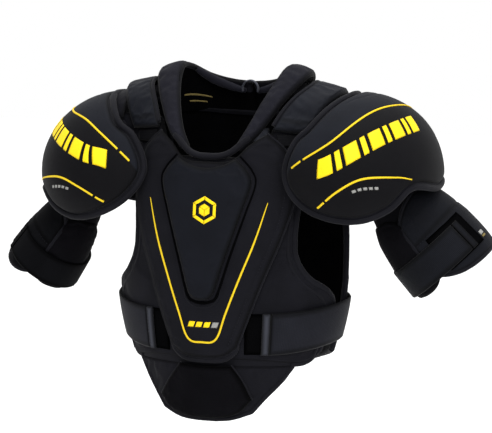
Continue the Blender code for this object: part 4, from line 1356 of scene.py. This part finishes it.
FLOOR_HALF, FLOOR_LEVEL = 8.0, -0.95
LAMPS = (
    ("key", (0.6, -2.3, 2.0), 1.2, 48), ("fill", (2.0, -1.6, 0.9), 1.4, 26), ("top", (0.3, 0.1, 2.2), 1.2, 40),
)
LAMP_TARGET = Vector((0, 0, -0.2))
CAMERA_DISTANCE, CAMERA_WIDTH, SENSOR = 4.0, 0.738, 36.0


def stage():
    scene = bpy.context.scene
    scene.view_settings.view_transform = "Standard"
    world = bpy.data.worlds.new("studio")
    world.use_nodes = True
    tree = world.node_tree
    sky = tree.nodes["Background"]
    sky.inputs["Color"].default_value = (1.0, 1.0, 1.0, 1.0)
    way = node(tree, "ShaderNodeTexCoord")
    parts = node(tree, "ShaderNodeSeparateXYZ")
    link(tree, way.outputs["Generated"], parts.inputs["Vector"])
    link(tree, span(tree, parts.outputs["Z"], (1.0, 1.4), (0.15, 1.0)), sky.inputs["Strength"])
    scene.world = world
    floor_mesh = bpy.data.meshes.new("floor")
    corners = [(x * FLOOR_HALF, y * FLOOR_HALF, FLOOR_LEVEL) for x, y in ((-1, -1), (1, -1), (1, 1), (-1, 1))]
    floor_mesh.from_pydata(corners, [], [(0, 1, 2, 3)])
    paper, _, sockets = new_material("pale_paper")
    sockets["Base Color"].default_value = (0.97, 0.97, 0.97, 1.0)
    sockets["Roughness"].default_value = 0.9
    floor_mesh.materials.append(paper)
    floor = bpy.data.objects.new("floor", floor_mesh)
    scene.collection.objects.link(floor)
    for name, place, size, power in LAMPS:
        lamp = bpy.data.lights.new(name, "AREA")
        lamp.energy, lamp.size = power, size
        light = bpy.data.objects.new(name, lamp)
        light.location = place
        light.rotation_euler = (LAMP_TARGET - Vector(place)).to_track_quat("-Z", "Y").to_euler()
        scene.collection.objects.link(light)


def camera():
    """Seen a little from the wearer's left and from above, through a long lens."""
    azimuth, elevation = math.radians(20), math.radians(8)
    level = math.cos(elevation)
    way = Vector((math.sin(azimuth) * level, -math.cos(azimuth) * level, math.sin(elevation)))
    right = Vector((math.cos(azimuth), math.sin(azimuth), 0.0))
    target = right * 0.012 - way.cross(right) * 0.175
    lens = bpy.data.cameras.new("camera")
    lens.sensor_fit, lens.sensor_width = "HORIZONTAL", SENSOR
    lens.lens = SENSOR * CAMERA_DISTANCE / CAMERA_WIDTH
    obj = bpy.data.objects.new("camera", lens)
    obj.location = target + way * CAMERA_DISTANCE
    obj.rotation_euler = way.to_track_quat("Z", "Y").to_euler()
    bpy.context.scene.collection.objects.link(obj)
    bpy.context.scene.camera = obj


def hard_parts():
    """The moulded sheets inside the pads keep their CAD shape."""
    for name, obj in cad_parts.items():
        if name.startswith(("chest_insert", "spine_insert", "cap_shell", "bicep_plate")):
            for each in obj.material_slots:
                each.material = PLASTIC


hard_parts()
vest_front()
chest_marks()
vest_back()
belly()
for each_side in SIDES:
    shoulders(each_side)
    waist_strap(each_side)
    shoulder_cap(each_side)
    bicep_guard(each_side)
stage()
camera()
